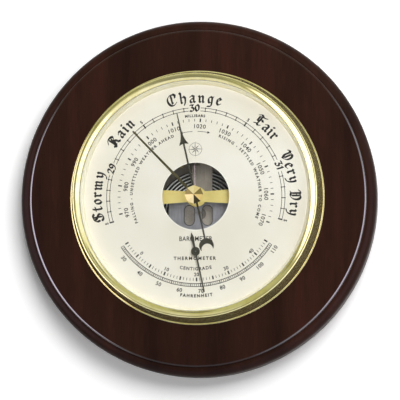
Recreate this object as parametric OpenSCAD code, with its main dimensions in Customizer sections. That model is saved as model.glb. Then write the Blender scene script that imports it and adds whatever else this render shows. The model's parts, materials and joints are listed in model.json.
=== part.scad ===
// Round wall barometer: a turned wood case, a brass bezel with flat glass, an open dial
// with a thermometer, and the aneroid movement that shows through the dial's centre.
// Millimetres. Every piece is drawn on the bench frame: the wall is the plane z = 0,
// z grows towards the viewer, y points to 12 o'clock and the hands turn about z.
// upright() then hangs it on the wall: +Z up, dial facing -Y, wall plane at Y = 0.

/* [Wood case] */
// Outside diameter of the turned ring
wood_d = 203.2; // [200:0.4:210]
// Thickness from the wall to the flat front face
wood_t = 20; // [19:0.5:22]
// Radius of the quarter round along the front edge
edge_round = 5.7; // [4:0.1:7]
// Drop from the flat front face to the top of the quarter round
edge_step = 1.8; // [1:0.1:3]

/* [Bezel and glass] */
// Outside diameter of the brass bezel
bezel_d = 145; // [145:0.5:148]
// Height of the bezel's crest above the wood
bezel_h = 16.3; // [16:0.1:18]
// Thickness of the glass
glass_t = 2; // [1.6:0.1:2.4]

/* [Dial] */
// Height of the dial's seat above the wood
dial_rise = 5; // [4:0.5:6]
// Visible diameter of the dial
dial_d = 126.8; // [120:0.2:127]
// Diameter of the opening in the middle of the dial
aperture_d = 38; // [34:0.5:40]
// Distance of the thermometer's pivot below the centre
thermometer_drop = 31.3; // [30:0.1:32]

/* [Hands] */
// Length of the pressure hand from its pivot to its tip
hand_l = 48.5; // [44:0.5:50]
// Pressure hand's angle at rest, clockwise from 12 o'clock
hand_angle = -12.6; // [-100:0.1:100]
// Length of the set hand
set_hand_l = 51; // [45:0.5:54]
// Set hand's angle at rest, clockwise from 12 o'clock
set_angle = -43.9; // [-180:0.1:180]
// Length of the thermometer hand from its pivot to its tip
temp_hand_l = 23.4; // [20:0.2:26]
// Thermometer hand's angle at rest, clockwise from 12 o'clock
temp_angle = 167.5; // [120:0.5:240]
// Diameter of the set hand's knob
knob_d = 10.5; // [9:0.1:12]

/* [Movement] */
// Diameter of the corrugated capsule
capsule_d = 50; // [46:0.5:50]
// Distance of the capsule's centre to the right of the dial's centre
mech_x = 1.2; // [0:0.1:1.5]
// Distance of the capsule's centre below the dial's centre
mech_drop = 8.7; // [8:0.1:9]
// Pitch radius of the chain on the pointer's drum
drum_r = 1.0; // [0.9:0.05:1.1]

/* [Hidden] */
$fn = 96;

CREAM = [0.93, 0.90, 0.80];
BRASS = [0.80, 0.66, 0.32];
STEEL = [0.62, 0.62, 0.63];
BLACK = [0.06, 0.06, 0.06];
WOOD = [0.20, 0.09, 0.07];

eps = 0.01;
run = 0.05;                    // radial clearance of a shaft in its hole

// Radii of the case and what it holds
wood_r = wood_d / 2;
bezel_r = bezel_d / 2;
dial_r = dial_d / 2;
aperture_r = aperture_d / 2;
case_r = 58.8;                 // outside of the case's wall
case_wall = 0.8;
wood_bore_r = case_r + 0.4;
flange_r = bezel_r - 1.5;
disc_r = bezel_r - 6.3;        // dial, spacer and glass all have this radius
case_screw_r = bezel_r - 3.5;  // circle of the screws in the case's flange
case_screw_at = [for (a = [90, 210, 330]) case_screw_r * [cos(a), sin(a)]];

// Levels above the wall
case_back = 1.2;
plate_z = 5;                   // back of the movement plate
plate_t = 1.2;
plate_top = plate_z + plate_t;
flange_top = wood_t + case_wall;
seat_top = wood_t + dial_rise + case_wall;
dial_t = 0.8;
dial_top = seat_top + dial_t;
spacer_h = 4.8;
glass_z = dial_top + spacer_h;
glass_top = glass_z + glass_t;
gasket_t = 0.4;
hand_t = 0.4;
temp_hand_z = dial_top + 1.0;
hand_z = dial_top + 2.0;
set_hand_z = glass_z - 1.1;

// Capsule and spring levels
mech = [mech_x, -mech_drop];
capsule_r = capsule_d / 2;
capsule_mid = 9.1;
capsule_half = 2.1;            // height of each corrugated half at its centre
diaphragm_t = 0.3;
bar_z = 12;                    // underside of the spring bridge's bar
bar_t = 1.6;
spring_t = 0.8;
limb_z = bar_z + bar_t;
leaf_z = limb_z + 3;
leaf_top = leaf_z + spring_t;
bend_y = -24.9;                // the spring bends here, and the lever turns about this line
bend_z = (limb_z + leaf_top) / 2;
leaf_w = 35;
lever_t = 0.8;
lever_z = leaf_z - lever_t;
lever_end_y = 27;

// Rocker, chain and pointer levels
rocker_y = 21;
rocker_z = 12;
chain_z = 20;
crank_l = lever_end_y - rocker_y;
chain_arm_l = chain_z - rocker_z;
lower_bridge_z = 18.2;
front_bridge_z = 22;
bridge_t = 1.2;
lower_bridge_t = 0.8;
front_bridge_top = front_bridge_z + bridge_t;
pillar_x = 27.5;

// Places of posts and screws
post_at = [[-33, 14], [33, 14], [-22, -33]];
vent_at = [[-40, -22], [-44, -16], [-36, -28]];
spring_leg_x = 27.5;
spring_leg_at = [for (s = [-1, 1]) [mech_x + s * spring_leg_x, -21]];
limb_screw_at = [for (s = [-1, 1]) [mech_x + s * 12, -20]];
adjuster_at = [mech_x, -36.5];
access_at = adjuster_at;
ear_x = [-9, 12.5];
foot_at = [[-14, rocker_y], [17.5, rocker_y]];
temp_at = [0, -thermometer_drop];
temp_rivet_at = [for (s = [-1, 1]) temp_at + [s * 13, 0]];
hanger_at = [0, 79];
hanger_screw_at = [for (s = [-1, 1]) hanger_at + [s * 16, 0]];
keyhole_r = 4.25;

// Round bar from z0 to z1
module rod(at, r, z0, z1) {
    translate([at[0], at[1], z0]) cylinder(r = r, h = z1 - z0);
}

// Box between two corners
module block(low, high) {
    translate(low) cube(high - low);
}

// Flat plate cut from the 2D children
module plate(z0, z1) {
    translate([0, 0, z0]) linear_extrude(height = z1 - z0) children();
}

// Slotted round head on a plain shank; out = 1 when the head faces the viewer
module slotted_screw(at, head_r, head_h, shank_r, z_seat, shank_l, out = 1) {
    translate([at[0], at[1], z_seat]) mirror([0, 0, out > 0 ? 0 : 1]) {
        difference() {
            cylinder(r = head_r, h = head_h);
            translate([-head_r - 1, -head_r / 8, head_h * 0.5])
                cube([2 * head_r + 2, head_r / 4, head_h]);
        }
        translate([0, 0, -shank_l]) cylinder(r = shank_r, h = shank_l + eps);
    }
}

// Flat ring from z0 to z1
module ring(r_in, r_out, z0, z1) {
    translate([0, 0, z0]) difference() {
        cylinder(r = r_out, h = z1 - z0);
        translate([0, 0, -1]) cylinder(r = r_in, h = z1 - z0 + 2);
    }
}

// Turned ring: flat front, small round arris, step, quarter round, straight side
module wood_profile() {
    side_z = wood_t - edge_step - edge_round;
    front_r = wood_r - edge_round;
    arris = 0.8;
    back_arris = 1;
    translate([wood_bore_r, 0]) {
        square([wood_r - back_arris - wood_bore_r, side_z]);
        translate([0, back_arris]) square([wood_r - wood_bore_r, side_z - back_arris]);
        square([front_r - wood_bore_r, wood_t - edge_step]);
        square([front_r - arris - wood_bore_r, wood_t]);
        square([front_r - wood_bore_r, wood_t - arris]);
    }
    translate([wood_r - back_arris, back_arris]) circle(r = back_arris);
    translate([front_r, side_z]) circle(r = edge_round);
    translate([front_r - arris, wood_t - arris]) circle(r = arris);
}

module wood_base() {
    pocket_depth = 8;
    color(WOOD) difference() {
        rotate_extrude() wood_profile();
        // seat of the hanger plate and the space for the nail's head behind it
        block([hanger_at[0] - 22, hanger_at[1] - 8, -1], [hanger_at[0] + 22, hanger_at[1] + 8, 1.6]);
        block([hanger_at[0] - 9, hanger_at[1] - 7, -1], [hanger_at[0] + 9, hanger_at[1] + 7, pocket_depth]);
        for (p = hanger_screw_at) rod(p, 1.3, 0, 12);
        for (p = case_screw_at) rod(p, 0.9, wood_t - 9, wood_t + 1);
    }
}

// Pressed brass plate with a keyhole: the nail's head goes in below, its shank rides up the slot
module hanger_plate() {
    slot_w = 4;
    slot_l = 6;
    color(BRASS) difference() {
        block([hanger_at[0] - 22, hanger_at[1] - 8, 0], [hanger_at[0] + 22, hanger_at[1] + 8, 1.6]);
        rod(hanger_at + [0, -2], keyhole_r, -1, 3);
        block([-slot_w / 2, hanger_at[1] - 2, -1], [slot_w / 2, hanger_at[1] - 2 + slot_l, 3]);
        rod(hanger_at + [0, slot_l - 2], slot_w / 2, -1, 3);
        for (p = hanger_screw_at) {
            rod(p, 1.3, -1, 3);
            rod(p, 2.6, -1, 0.9);
        }
    }
}

module hanger_screws() {
    color(BRASS) for (p = hanger_screw_at)
        translate([0, 0, 0.9]) slotted_screw(p, 2.6, 0.9, 1.3, 0, 11, out = -1);
}

// Deep cup: one flange rests on the wood under the bezel, and the upper one is the dial's seat
module instrument_case() {
    inner_r = case_r - case_wall;
    color(BRASS) difference() {
        rotate_extrude() polygon([
            [0, case_back], [case_r, case_back], [case_r, wood_t], [flange_r, wood_t],
            [flange_r, flange_top], [case_r, flange_top], [case_r, seat_top - case_wall],
            [disc_r, seat_top - case_wall], [disc_r, seat_top], [inner_r, seat_top],
            [inner_r, case_back + case_wall], [0, case_back + case_wall]
        ]);
        for (p = post_at) rod(p, 1.6, 0, 3);
        for (p = vent_at) rod(p, 1.5, 0, 3);
        rod(access_at, 3.2, 0, 3);
        for (p = case_screw_at) rod(p, 0.9, wood_t - 1, wood_t + 3);
    }
}

module case_screws() {
    color(STEEL) for (p = case_screw_at) slotted_screw(p, 1.5, 0.6, 0.9, flange_top, 9);
}

// Bezel: foot rim, cove, round crest, inner slope and the lip over the glass
module bezel() {
    crest_r = 1.2;
    crest = [bezel_r - 4.3, wood_t + bezel_h - crest_r];
    rim_r = 0.9;
    rim = [bezel_r - rim_r, wood_t + 1.2];
    lip_r = bezel_r - 8;
    lip_z = glass_top + gasket_t;
    inner_r = disc_r + 0.2;
    color(BRASS) difference() {
        union() {
            rotate_extrude() polygon([
                [inner_r, flange_top], [inner_r, lip_z], [lip_r, lip_z], [lip_r, lip_z + 0.5],
                crest + crest_r * [cos(128), sin(128)], crest, crest + [crest_r, 0],
                [bezel_r - 1.6, rim[1] + 2.4],
                rim + [0, rim_r - 0.1], rim, [bezel_r, rim[1]], [bezel_r, wood_t],
                [bezel_r - 1.3, wood_t], [bezel_r - 1.3, flange_top]
            ]);
            rotate_extrude() translate(crest) circle(r = crest_r);
            rotate_extrude() translate(rim) circle(r = rim_r);
        }
        rotate_extrude() translate([bezel_r + 2.1, wood_t + 6.6]) circle(r = 5);
        // hollow under the ring, over the heads of the case screws
        rotate_extrude() polygon([
            [inner_r + 0.8, flange_top - 1], [bezel_r - 1.3, flange_top - 1],
            [bezel_r - 1.3, wood_t + 1.3], [bezel_r - 2.7, wood_t + 2],
            [bezel_r - 3.9, wood_t + 6], [bezel_r - 4.3, crest[1] - 3.1],
            [inner_r + 0.8, crest[1] - 2.5]
        ]);
    }
}

// Flat glass with a ground bevel round its front edge and a hole for the set spindle
module glass() {
    bevel = 0.6;
    color([0.85, 0.92, 0.92, 0.35]) difference() {
        rotate_extrude() polygon([
            [0, glass_z], [disc_r, glass_z], [disc_r, glass_top - bevel],
            [disc_r - bevel, glass_top], [0, glass_top]
        ]);
        rod([0, 0], 1.3, glass_z - 1, glass_top + 1);
    }
}

module glass_gasket() {
    color([0.75, 0.73, 0.66]) ring(bezel_r - 7.6, disc_r - 0.6, glass_top, glass_top + gasket_t);
}

// Cream ring that holds the glass off the dial
module spacer_ring() {
    color(CREAM) rotate_extrude() polygon([
        [dial_r - 0.3, dial_top], [disc_r, dial_top], [disc_r, glass_z], [dial_r + 1, glass_z]
    ]);
}

module dial() {
    color(CREAM) difference() {
        rod([0, 0], disc_r, seat_top, dial_top);
        rod([0, 0], aperture_r, seat_top - 1, dial_top + 1);
        rod(temp_at, 1.6, seat_top - 1, dial_top + 1);
        for (p = temp_rivet_at) rod(p, 0.8, seat_top - 1, dial_top + 1);
    }
}

module movement_plate() {
    color(STEEL) difference() {
        rod([0, 0], 43, plate_z, plate_top);
        rod(adjuster_at, 1.5 + run, plate_z - 1, plate_top + 1);
        rod(mech, 2, plate_z - 1, plate_top + 1);
        for (p = foot_at) rod(p, 0.9, plate_z - 1, plate_top + 1);
        for (p = spring_leg_at) rod(p, 1.1, plate_z - 1, plate_top + 1);
    }
}

// Tapped posts on the back of the movement plate
module movement_posts() {
    color(BRASS) for (p = post_at) difference() {
        rod(p, 3, case_back + case_wall, plate_z);
        rod(p, 1.2, case_back, plate_z - 0.4);
    }
}

module movement_screws() {
    color(STEEL) for (p = post_at)
        slotted_screw(p, 2.6, 0.9, 1.2, case_back, 3.2, out = -1);
}

module bridge_pillars() {
    color(BRASS) for (s = [-1, 1]) difference() {
        rod([s * pillar_x, 0], 2.2, plate_top, lower_bridge_z);
        rod([s * pillar_x, 0], 0.9, lower_bridge_z - 3, lower_bridge_z + 1);
    }
}

// Outline shared by both bridges: a bar that waists towards a round boss in the middle
module bridge_outline(end_w, waist_w, boss_r) {
    end_x = pillar_x + 3;
    polygon([
        [-6, -waist_w / 2], [6, -waist_w / 2], [19, -end_w / 2], [end_x, -end_w / 2],
        [end_x, end_w / 2], [19, end_w / 2], [6, waist_w / 2], [-6, waist_w / 2],
        [-19, end_w / 2], [-end_x, end_w / 2], [-end_x, -end_w / 2], [-19, -end_w / 2]
    ]);
    circle(r = boss_r);
}

module lower_bridge() {
    color(STEEL) difference() {
        plate(lower_bridge_z, lower_bridge_z + lower_bridge_t) bridge_outline(6, 5, 4);
        rod([0, 0], 0.5 + run, lower_bridge_z - 1, lower_bridge_z + 2);
        for (s = [-1, 1]) rod([s * pillar_x, 0], 0.9, lower_bridge_z - 1, lower_bridge_z + 2);
    }
}

module bridge_spacers() {
    color(BRASS) for (s = [-1, 1]) translate([s * pillar_x, 0, 0])
        ring(0.9, 2, lower_bridge_z + lower_bridge_t, front_bridge_z);
}

module front_bridge() {
    color(BRASS) difference() {
        plate(front_bridge_z, front_bridge_top) bridge_outline(7.9, 6.2, 5.7);
        rod([0, 0], 0.6 + run, front_bridge_z - 1, front_bridge_top + 1);
        for (s = [-1, 1]) rod([s * pillar_x, 0], 0.9, front_bridge_z - 1, front_bridge_top + 1);
    }
}

module bridge_screws() {
    color(STEEL) for (s = [-1, 1])
        slotted_screw([s * pillar_x, 0], 1.9, 0.9, 0.9, front_bridge_top,
                      front_bridge_top - lower_bridge_z + 3);
}

// Height of the capsule's skin over its mid plane: a shallow dome with round corrugations
function skin(r) =
    let (flat_r = 4, rim = 0.35, crests = 6, wave = 0.3)
    r <= flat_r ? capsule_half
    : let (t = (r - flat_r) / (capsule_r - 1.5 - flat_r))
      t >= 1 ? rim : rim + (capsule_half - rim) * (1 - t) + wave * sin(360 * crests * t);

// One corrugated half, drawn as a thin skin; it closes on the rim
module capsule_half_shell() {
    step = 0.5;
    radii = [for (r = [3.5 : step : capsule_r]) r];
    outer = [for (r = radii) [r, skin(r)]];
    inner = [for (i = [len(radii) - 1 : -1 : 0])
        [radii[i], radii[i] > capsule_r - 1.6 ? 0 : max(0, skin(radii[i]) - diaphragm_t)]];
    rotate_extrude() polygon(concat([[0, capsule_half]], outer, inner, [[0, capsule_half - diaphragm_t]]));
}

module capsule_lower() {
    color([0.35, 0.35, 0.36]) translate([mech[0], mech[1], capsule_mid])
        mirror([0, 0, 1]) capsule_half_shell();
}

module capsule_upper() {
    color([0.35, 0.35, 0.36]) translate([mech[0], mech[1], capsule_mid]) capsule_half_shell();
}

// Stud and nut that hold the capsule on the movement plate
module capsule_nut() {
    color(BRASS) {
        rod(mech, 3.2, plate_top, capsule_mid - capsule_half);
        rod(mech, 2, plate_z, plate_top + eps);
        translate([mech[0], mech[1], plate_z - 1.4]) cylinder(r = 3, h = 1.4, $fn = 6);
    }
}

// Post on top of the capsule: it rises and falls with the air pressure
module capsule_post() {
    post_z = capsule_mid + capsule_half;
    color(BRASS) difference() {
        union() {
            rod(mech, 3.2, post_z, post_z + 1);
            rod(mech, 0.9, post_z + 1 - eps, leaf_top + 1.2);
        }
        translate([mech[0] - 2, mech[1], leaf_top + 0.35]) rotate([0, 90, 0]) cylinder(r = 0.3, h = 4);
    }
}

// Cross pin on which the spring leaf pulls
module knife_pin() {
    color(STEEL) translate([mech[0] - 2.6, mech[1], leaf_top + 0.35])
        rotate([0, 90, 0]) cylinder(r = 0.3, h = 5.2);
}

// Stiff bar over the capsule on two legs; its tail rests on the adjusting screw
module spring_bridge() {
    low = [mech_x - 30.5, -25];
    high = [mech_x + 30.5, -17];
    color(STEEL) difference() {
        union() {
            block([low[0], low[1], bar_z], [high[0], high[1], bar_z + bar_t]);
            for (p = spring_leg_at)
                block([p[0] - 3, low[1], plate_top], [p[0] + 3, high[1] - 1.8, bar_z + eps]);
            block([mech_x - 4, -40, bar_z], [mech_x + 4, low[1] + eps, bar_z + bar_t]);
        }
        for (p = limb_screw_at) rod(p, 0.8, bar_z - 1, bar_z + bar_t + 1);
        for (p = spring_leg_at) rod(p, 1.1, plate_top - 1, plate_top + 3.5);
    }
}

module spring_bridge_screws() {
    color(STEEL) for (p = spring_leg_at)
        slotted_screw(p, 2.2, 1, 1.1, plate_z, 4.5, out = -1);
}

// Lower limb of the C-shaped mainspring, screwed to the bridge
module mainspring_root() {
    color(STEEL) difference() {
        block([mech_x - leaf_w / 2, bend_y, limb_z], [mech_x + leaf_w / 2, -17.5, limb_z + spring_t]);
        for (p = limb_screw_at) rod(p, 0.8, limb_z - 1, limb_z + 2);
    }
}

module mainspring_screws() {
    color(STEEL) for (p = limb_screw_at)
        slotted_screw(p, 1.5, 0.7, 0.8, limb_z + spring_t, spring_t + bar_t);
}

// Half round bend between the two limbs
module mainspring_bend() {
    outer = (leaf_top - limb_z) / 2;
    color(STEEL) translate([mech_x - leaf_w / 2, bend_y, bend_z]) rotate([0, 90, 0]) difference() {
        cylinder(r = outer, h = leaf_w);
        translate([0, 0, -1]) cylinder(r = outer - spring_t, h = leaf_w + 2);
        translate([-outer - 1, 0, -1]) cube([2 * outer + 2, outer + 1, leaf_w + 2]);
    }
}

// Slot with round ends, from y0 to y1
module slot_2d(x, y0, y1, w) {
    translate([x - w / 2, y0 + w / 2]) square([w, y1 - y0 - w]);
    for (y = [y0 + w / 2, y1 - w / 2]) translate([x, y]) circle(r = w / 2);
}

// Upper limb: a wide leaf with two long slots, which leave a tongue over the capsule's post
module mainspring_leaf() {
    slot_w = 5.8;
    color(STEEL) difference() {
        plate(leaf_z, leaf_top) difference() {
            translate([mech_x - leaf_w / 2, bend_y]) square([leaf_w, -bend_y - 1]);
            for (s = [-1, 1]) slot_2d(mech_x + s * 5, -17, -4.5, slot_w);
            translate(mech) circle(r = 1.2);
        }
        for (s = [-1, 1]) rod([mech_x + s * 3.2, -2.4], 0.7, leaf_z - 1, leaf_top + 1);
    }
}

// Flat arm under the leaf's free edge; its far end carries two lugs for the link
module main_lever() {
    left = mech_x - 4.4;
    right = mech_x + 7.2;
    lug_y = [lever_end_y - 1.2, lever_end_y + 1.2];
    color(STEEL) difference() {
        union() {
            plate(lever_z, leaf_z) polygon([
                [left, -3.8], [right, -3.8], [right, 17], [right - 1.5, 30],
                [1.4, 30], [1.4, 18.3], [left, 18.3]
            ]);
            for (x = [2.2, 4.6])
                block([x, lug_y[0], lever_z - 2], [x + 0.7, lug_y[1], lever_z + eps]);
        }
        for (s = [-1, 1]) rod([mech_x + s * 3.2, -2.4], 0.7, lever_z - 1, leaf_z + 1);
        translate([1, lever_end_y, lever_z - 1.1]) rotate([0, 90, 0]) cylinder(r = 0.4, h = 6);
    }
}

module lever_rivets() {
    color(BRASS) for (s = [-1, 1]) rod([mech_x + s * 3.2, -2.4], 0.7, lever_z, leaf_top);
}

module lever_pin() {
    color(STEEL) translate([2, lever_end_y, lever_z - 1.1]) rotate([0, 90, 0]) cylinder(r = 0.4, h = 3.5);
}

// Small strap from the lever down to the crank
module link() {
    top = lever_z - 1.1;
    eye_r = 0.95;
    color(BRASS) translate([3.4, 0, 0]) difference() {
        union() {
            translate([0, lever_end_y - 0.7, rocker_z]) cube([0.7, 1.4, top - rocker_z]);
            for (z = [rocker_z, top]) translate([0, lever_end_y, z])
                rotate([0, 90, 0]) cylinder(r = eye_r, h = 0.7);
        }
        translate([-1, lever_end_y, top]) rotate([0, 90, 0]) cylinder(r = 0.4 + run, h = 3);
        translate([-1, lever_end_y, rocker_z]) rotate([0, 90, 0]) cylinder(r = 0.65, h = 3);
    }
}

// Two ears on feet, which carry the rocker shaft between pivot screws
module rocker_bracket() {
    ear_t = 1;
    color(BRASS) difference() {
        union() for (i = [0, 1]) {
            side = i == 0 ? -1 : 1;
            x = ear_x[i];
            block([x - ear_t / 2, rocker_y - 2.5, plate_top], [x + ear_t / 2, rocker_y + 2.5, rocker_z + 2.5]);
            foot = [x + side * ear_t / 2, foot_at[i][0] + side * 2.5];
            block([min(foot) - (side > 0 ? eps : 0), rocker_y - 2.5, plate_top],
                  [max(foot) + (side > 0 ? 0 : eps), rocker_y + 2.5, plate_top + 1]);
        }
        for (x = ear_x) translate([x - 2, rocker_y, rocker_z]) rotate([0, 90, 0]) cylinder(r = 0.9, h = 4);
        for (p = foot_at) rod(p, 0.9, plate_top - 1, plate_top + 2);
    }
}

module bracket_screws() {
    color(STEEL) for (p = foot_at) slotted_screw(p, 1.8, 0.9, 0.9, plate_top + 1, plate_t + 1);
}

// Screws in the ears, whose fine tips enter the ends of the shaft
module rocker_pivots() {
    color(STEEL) for (i = [0, 1]) {
        side = i == 0 ? -1 : 1;
        translate([ear_x[i], rocker_y, rocker_z]) rotate([0, side * 90, 0]) {
            translate([0, 0, -0.5]) cylinder(r = 0.9, h = 2.2);
            translate([0, 0, -1.4]) cylinder(r = 0.35, h = 1);
        }
    }
}

module rocker_shaft() {
    ends = [ear_x[0] + 0.6, ear_x[1] - 0.6];
    color(STEEL) translate([ends[0], rocker_y, rocker_z]) rotate([0, 90, 0]) difference() {
        cylinder(r = 0.8, h = ends[1] - ends[0]);
        for (z = [-1, ends[1] - ends[0] - 1.2]) translate([0, 0, z]) cylinder(r = 0.35 + run, h = 2.2);
    }
}

// Arm along y from the shaft to the link
module crank_arm() {
    x = 1.9;
    color(BRASS) difference() {
        union() {
            translate([x, rocker_y, rocker_z]) rotate([0, 90, 0]) cylinder(r = 1.5, h = 0.9);
            block([x, rocker_y, rocker_z - 0.7], [x + 0.9, lever_end_y + 0.8, rocker_z + 0.7]);
            translate([x + 0.9 - eps, lever_end_y, rocker_z]) rotate([0, 90, 0]) cylinder(r = 0.4, h = 1.6);
        }
        translate([x - 1, rocker_y, rocker_z]) rotate([0, 90, 0]) cylinder(r = 0.8, h = 3);
    }
}

// Upright arm from the shaft to the chain
module chain_arm() {
    x = -2;
    color(BRASS) difference() {
        union() {
            translate([x, rocker_y, rocker_z]) rotate([0, 90, 0]) cylinder(r = 1.5, h = 0.6);
            block([x, rocker_y - 0.6, rocker_z], [x + 0.6, rocker_y + 0.6, chain_z + 0.5]);
            translate([x + 0.6 - eps, rocker_y, chain_z]) rotate([0, 90, 0]) cylinder(r = 0.2, h = 0.8);
        }
        translate([x - 1, rocker_y, rocker_z]) rotate([0, 90, 0]) cylinder(r = 0.8, h = 3);
    }
}

// Fine chain, drawn as its straight run from the drum to the ring on the upright arm
module chain() {
    wire_r = 0.13;
    ring_r = 0.7;
    color(STEEL) translate([-drum_r, 0, chain_z]) {
        rotate([-90, 0, 0]) cylinder(r = wire_r, h = rocker_y - ring_r);
        translate([0, rocker_y, 0]) rotate([0, 90, 0]) rotate_extrude()
            translate([ring_r, 0]) circle(r = 0.15, $fn = 24);
    }
}

module pointer_arbor() {
    color(STEEL) {
        rod([0, 0], 0.5, lower_bridge_z - 0.2, front_bridge_z - 0.4);
        rod([0, 0], 0.6, front_bridge_z - 0.4 - eps, hand_z - 0.6);
        rod([0, 0], 0.4, hand_z - 0.6 - eps, hand_z + 0.9);
    }
}

// Flanged drum that takes up the chain
module chain_drum() {
    color(BRASS) difference() {
        union() {
            rod([0, 0], drum_r - 0.15, chain_z - 0.8, chain_z + 0.8);
            rod([0, 0], 2, chain_z - 0.8, chain_z - 0.4);
            rod([0, 0], 2, chain_z + 0.4, chain_z + 0.8);
        }
        rod([0, 0], 0.5, chain_z - 2, chain_z + 2);
    }
}

// Points of a flat spiral: the radius grows at a steady rate from r0 to r1
function spiral(r0, r1, turns, steps) = [for (i = [0 : steps])
    let (t = i / steps, a = 360 * turns * t) (r0 + (r1 - r0) * t) * [cos(a), sin(a)]];

// Least free space between two turns of a strip, over all pairs of points half a turn apart or more
function least_gap(points, thick) = min([
    for (i = [0 : len(points) - 1])
        for (j = [i + 12 : 1 : len(points) - 1]) norm(points[i] - points[j])
]) - thick;

// Flat strip wound on edge, thick in the plane and from z0 to z1 in height
module wound_strip(r0, r1, turns, thick, z0, z1) {
    steps = round(turns * 24);
    outer = spiral(r0 + thick, r1 + thick, turns, steps);
    inner = spiral(r0, r1, turns, steps);
    echo(least_gap_mm = least_gap(inner, thick));
    plate(z0, z1) polygon(concat(outer, [for (i = [steps : -1 : 0]) inner[i]]));
}

module hairspring() {
    color(STEEL) wound_strip(0.6, 4.2, 5, 0.15, chain_z + 1.0, chain_z + 1.5);
}

// Pin under the front bridge that holds the hairspring's outer end
module hairspring_stud() {
    color(BRASS) rod([4.85, 0], 0.5, chain_z + 0.9, front_bridge_z);
}

// Black pressure hand: thin tip, arrowhead with concave sides, stem and crescent tail
module pressure_hand() {
    head_y = hand_l * 0.765;
    barb_y = hand_l * 0.61;
    notch_y = hand_l * 0.645;
    moon_y = -29;
    top = hand_z + hand_t;
    right = [
        [0.75, moon_y + 3.4], [0.8, 0], [0.6, notch_y], [2.8, barb_y], [1.45, barb_y + 2.6],
        [0.75, head_y - 2], [0.5, head_y], [0.25, hand_l]
    ];
    left = [for (i = [len(right) - 1 : -1 : 0]) [-right[i][0], right[i][1]]];
    color(BLACK) rotate([0, 0, -hand_angle]) difference() {
        union() {
            plate(hand_z, top) polygon(concat(right, left));
            rod([0, 0], 2.2, hand_z, top);
            difference() {
                rod([0, moon_y], 4, hand_z, top);
                rod([0, moon_y - 1.7], 3.2, hand_z - 1, top + 1);
            }
        }
        rod([0, 0], 0.4, hand_z - 1, hand_z + 2);
    }
}

// Brass bush riveted in the hand and pressed on the arbor
module hand_bush() {
    color(BRASS) ring(0.4, 1.5, hand_z + hand_t, hand_z + 0.8);
}

// Regulating screw, turned from behind through the hole in the case
module adjusting_screw() {
    seat = plate_z - 0.4;
    color(STEEL) slotted_screw(adjuster_at, 2.6, 1.4, 1.5, seat, bar_z - run - seat, out = -1);
}

module thermometer_bush() {
    color(BRASS) translate([temp_at[0], temp_at[1], 0]) {
        ring(0.6 + run, 1.6, seat_top - 0.6, dial_top);
        ring(0.6 + run, 2.3, dial_top, dial_top + 0.4);
    }
}

module thermometer_staff() {
    color(BRASS) {
        rod(temp_at, 0.6, 19.6, temp_hand_z);
        rod(temp_at, 0.45, temp_hand_z - eps, temp_hand_z + 0.75);
        difference() {
            rod(temp_at, 1.6, 21, 24);
            rod(temp_at, 0.6, 20, 25);
        }
    }
}

// Black thermometer hand: hub, thin pointer and lance-shaped tail
module thermometer_hand() {
    tail = 11;
    color(BLACK) translate([temp_at[0], temp_at[1], 0]) rotate([0, 0, -temp_angle]) difference() {
        union() {
            plate(temp_hand_z, temp_hand_z + hand_t) polygon([
                [0.45, 0], [0.25, temp_hand_l], [-0.25, temp_hand_l], [-0.45, 0],
                [-0.6, -tail * 0.45], [-0.95, -tail * 0.72], [0, -tail],
                [0.95, -tail * 0.72], [0.6, -tail * 0.45]
            ]);
            rod([0, 0], 2.5, temp_hand_z, temp_hand_z + hand_t);
        }
        rod([0, 0], 0.45, temp_hand_z - 1, temp_hand_z + 2);
    }
}

module bimetal_coil() {
    color(BRASS) translate([temp_at[0], temp_at[1], 0])
        wound_strip(1.6, 8.6, 6, 0.45, 21.3, 23.7);
}

// Strap behind the coil, riveted to the dial, with the staff's rear bearing
module thermometer_bracket() {
    y0 = temp_at[1] - 2.5;
    y1 = temp_at[1] + 2.5;
    z0 = 19.4;
    color(STEEL) difference() {
        union() {
            block([-11.7, y0, z0], [11.7, y1, z0 + 0.8]);
            for (s = [-1, 1]) block([s * 11.3 - 0.4, y0, z0], [s * 11.3 + 0.4, y1, seat_top]);
            for (s = [-1, 1]) block([s * 13 - 2.1, y0, seat_top - 0.8], [s * 13 + 2.1, y1, seat_top]);
            block([7.95, temp_at[1] - 1.5, z0], [8.35, temp_at[1] + 1.5, 24]);
        }
        rod(temp_at, 0.6 + run, z0 - 1, z0 + 2);
        for (p = temp_rivet_at) rod(p, 0.8, seat_top - 2, seat_top + 1);
    }
}

module thermometer_rivets() {
    color(BRASS) for (p = temp_rivet_at) {
        rod(p, 0.8, seat_top - 1, dial_top);
        rod(p, 1.3, seat_top - 1.3, seat_top - 0.8);
    }
}

// Spindle through the glass: a collar below holds the hand, a thread above takes the knob
module set_spindle() {
    color(BRASS) {
        rod([0, 0], 2.2, set_hand_z - 0.5, set_hand_z);
        rod([0, 0], 1.2, set_hand_z - eps, glass_top + 3);
    }
}

module set_washers() {
    color([0.9, 0.9, 0.85]) {
        ring(1.2, 3, set_hand_z + 0.7, glass_z - run);
        ring(1.2, 3, glass_top + run, glass_top + 0.5);
    }
}

// Brass set hand, a long narrow wedge with a ridge
module set_hand() {
    color(BRASS) rotate([0, 0, -set_angle]) difference() {
        union() {
            plate(set_hand_z, set_hand_z + 0.4)
                polygon([[-0.75, 0], [-0.35, set_hand_l], [0.35, set_hand_l], [0.75, 0]]);
            rod([0, 0], 2.6, set_hand_z, set_hand_z + 0.7);
        }
        rod([0, 0], 1.2, set_hand_z - 1, set_hand_z + 2);
    }
}

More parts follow.
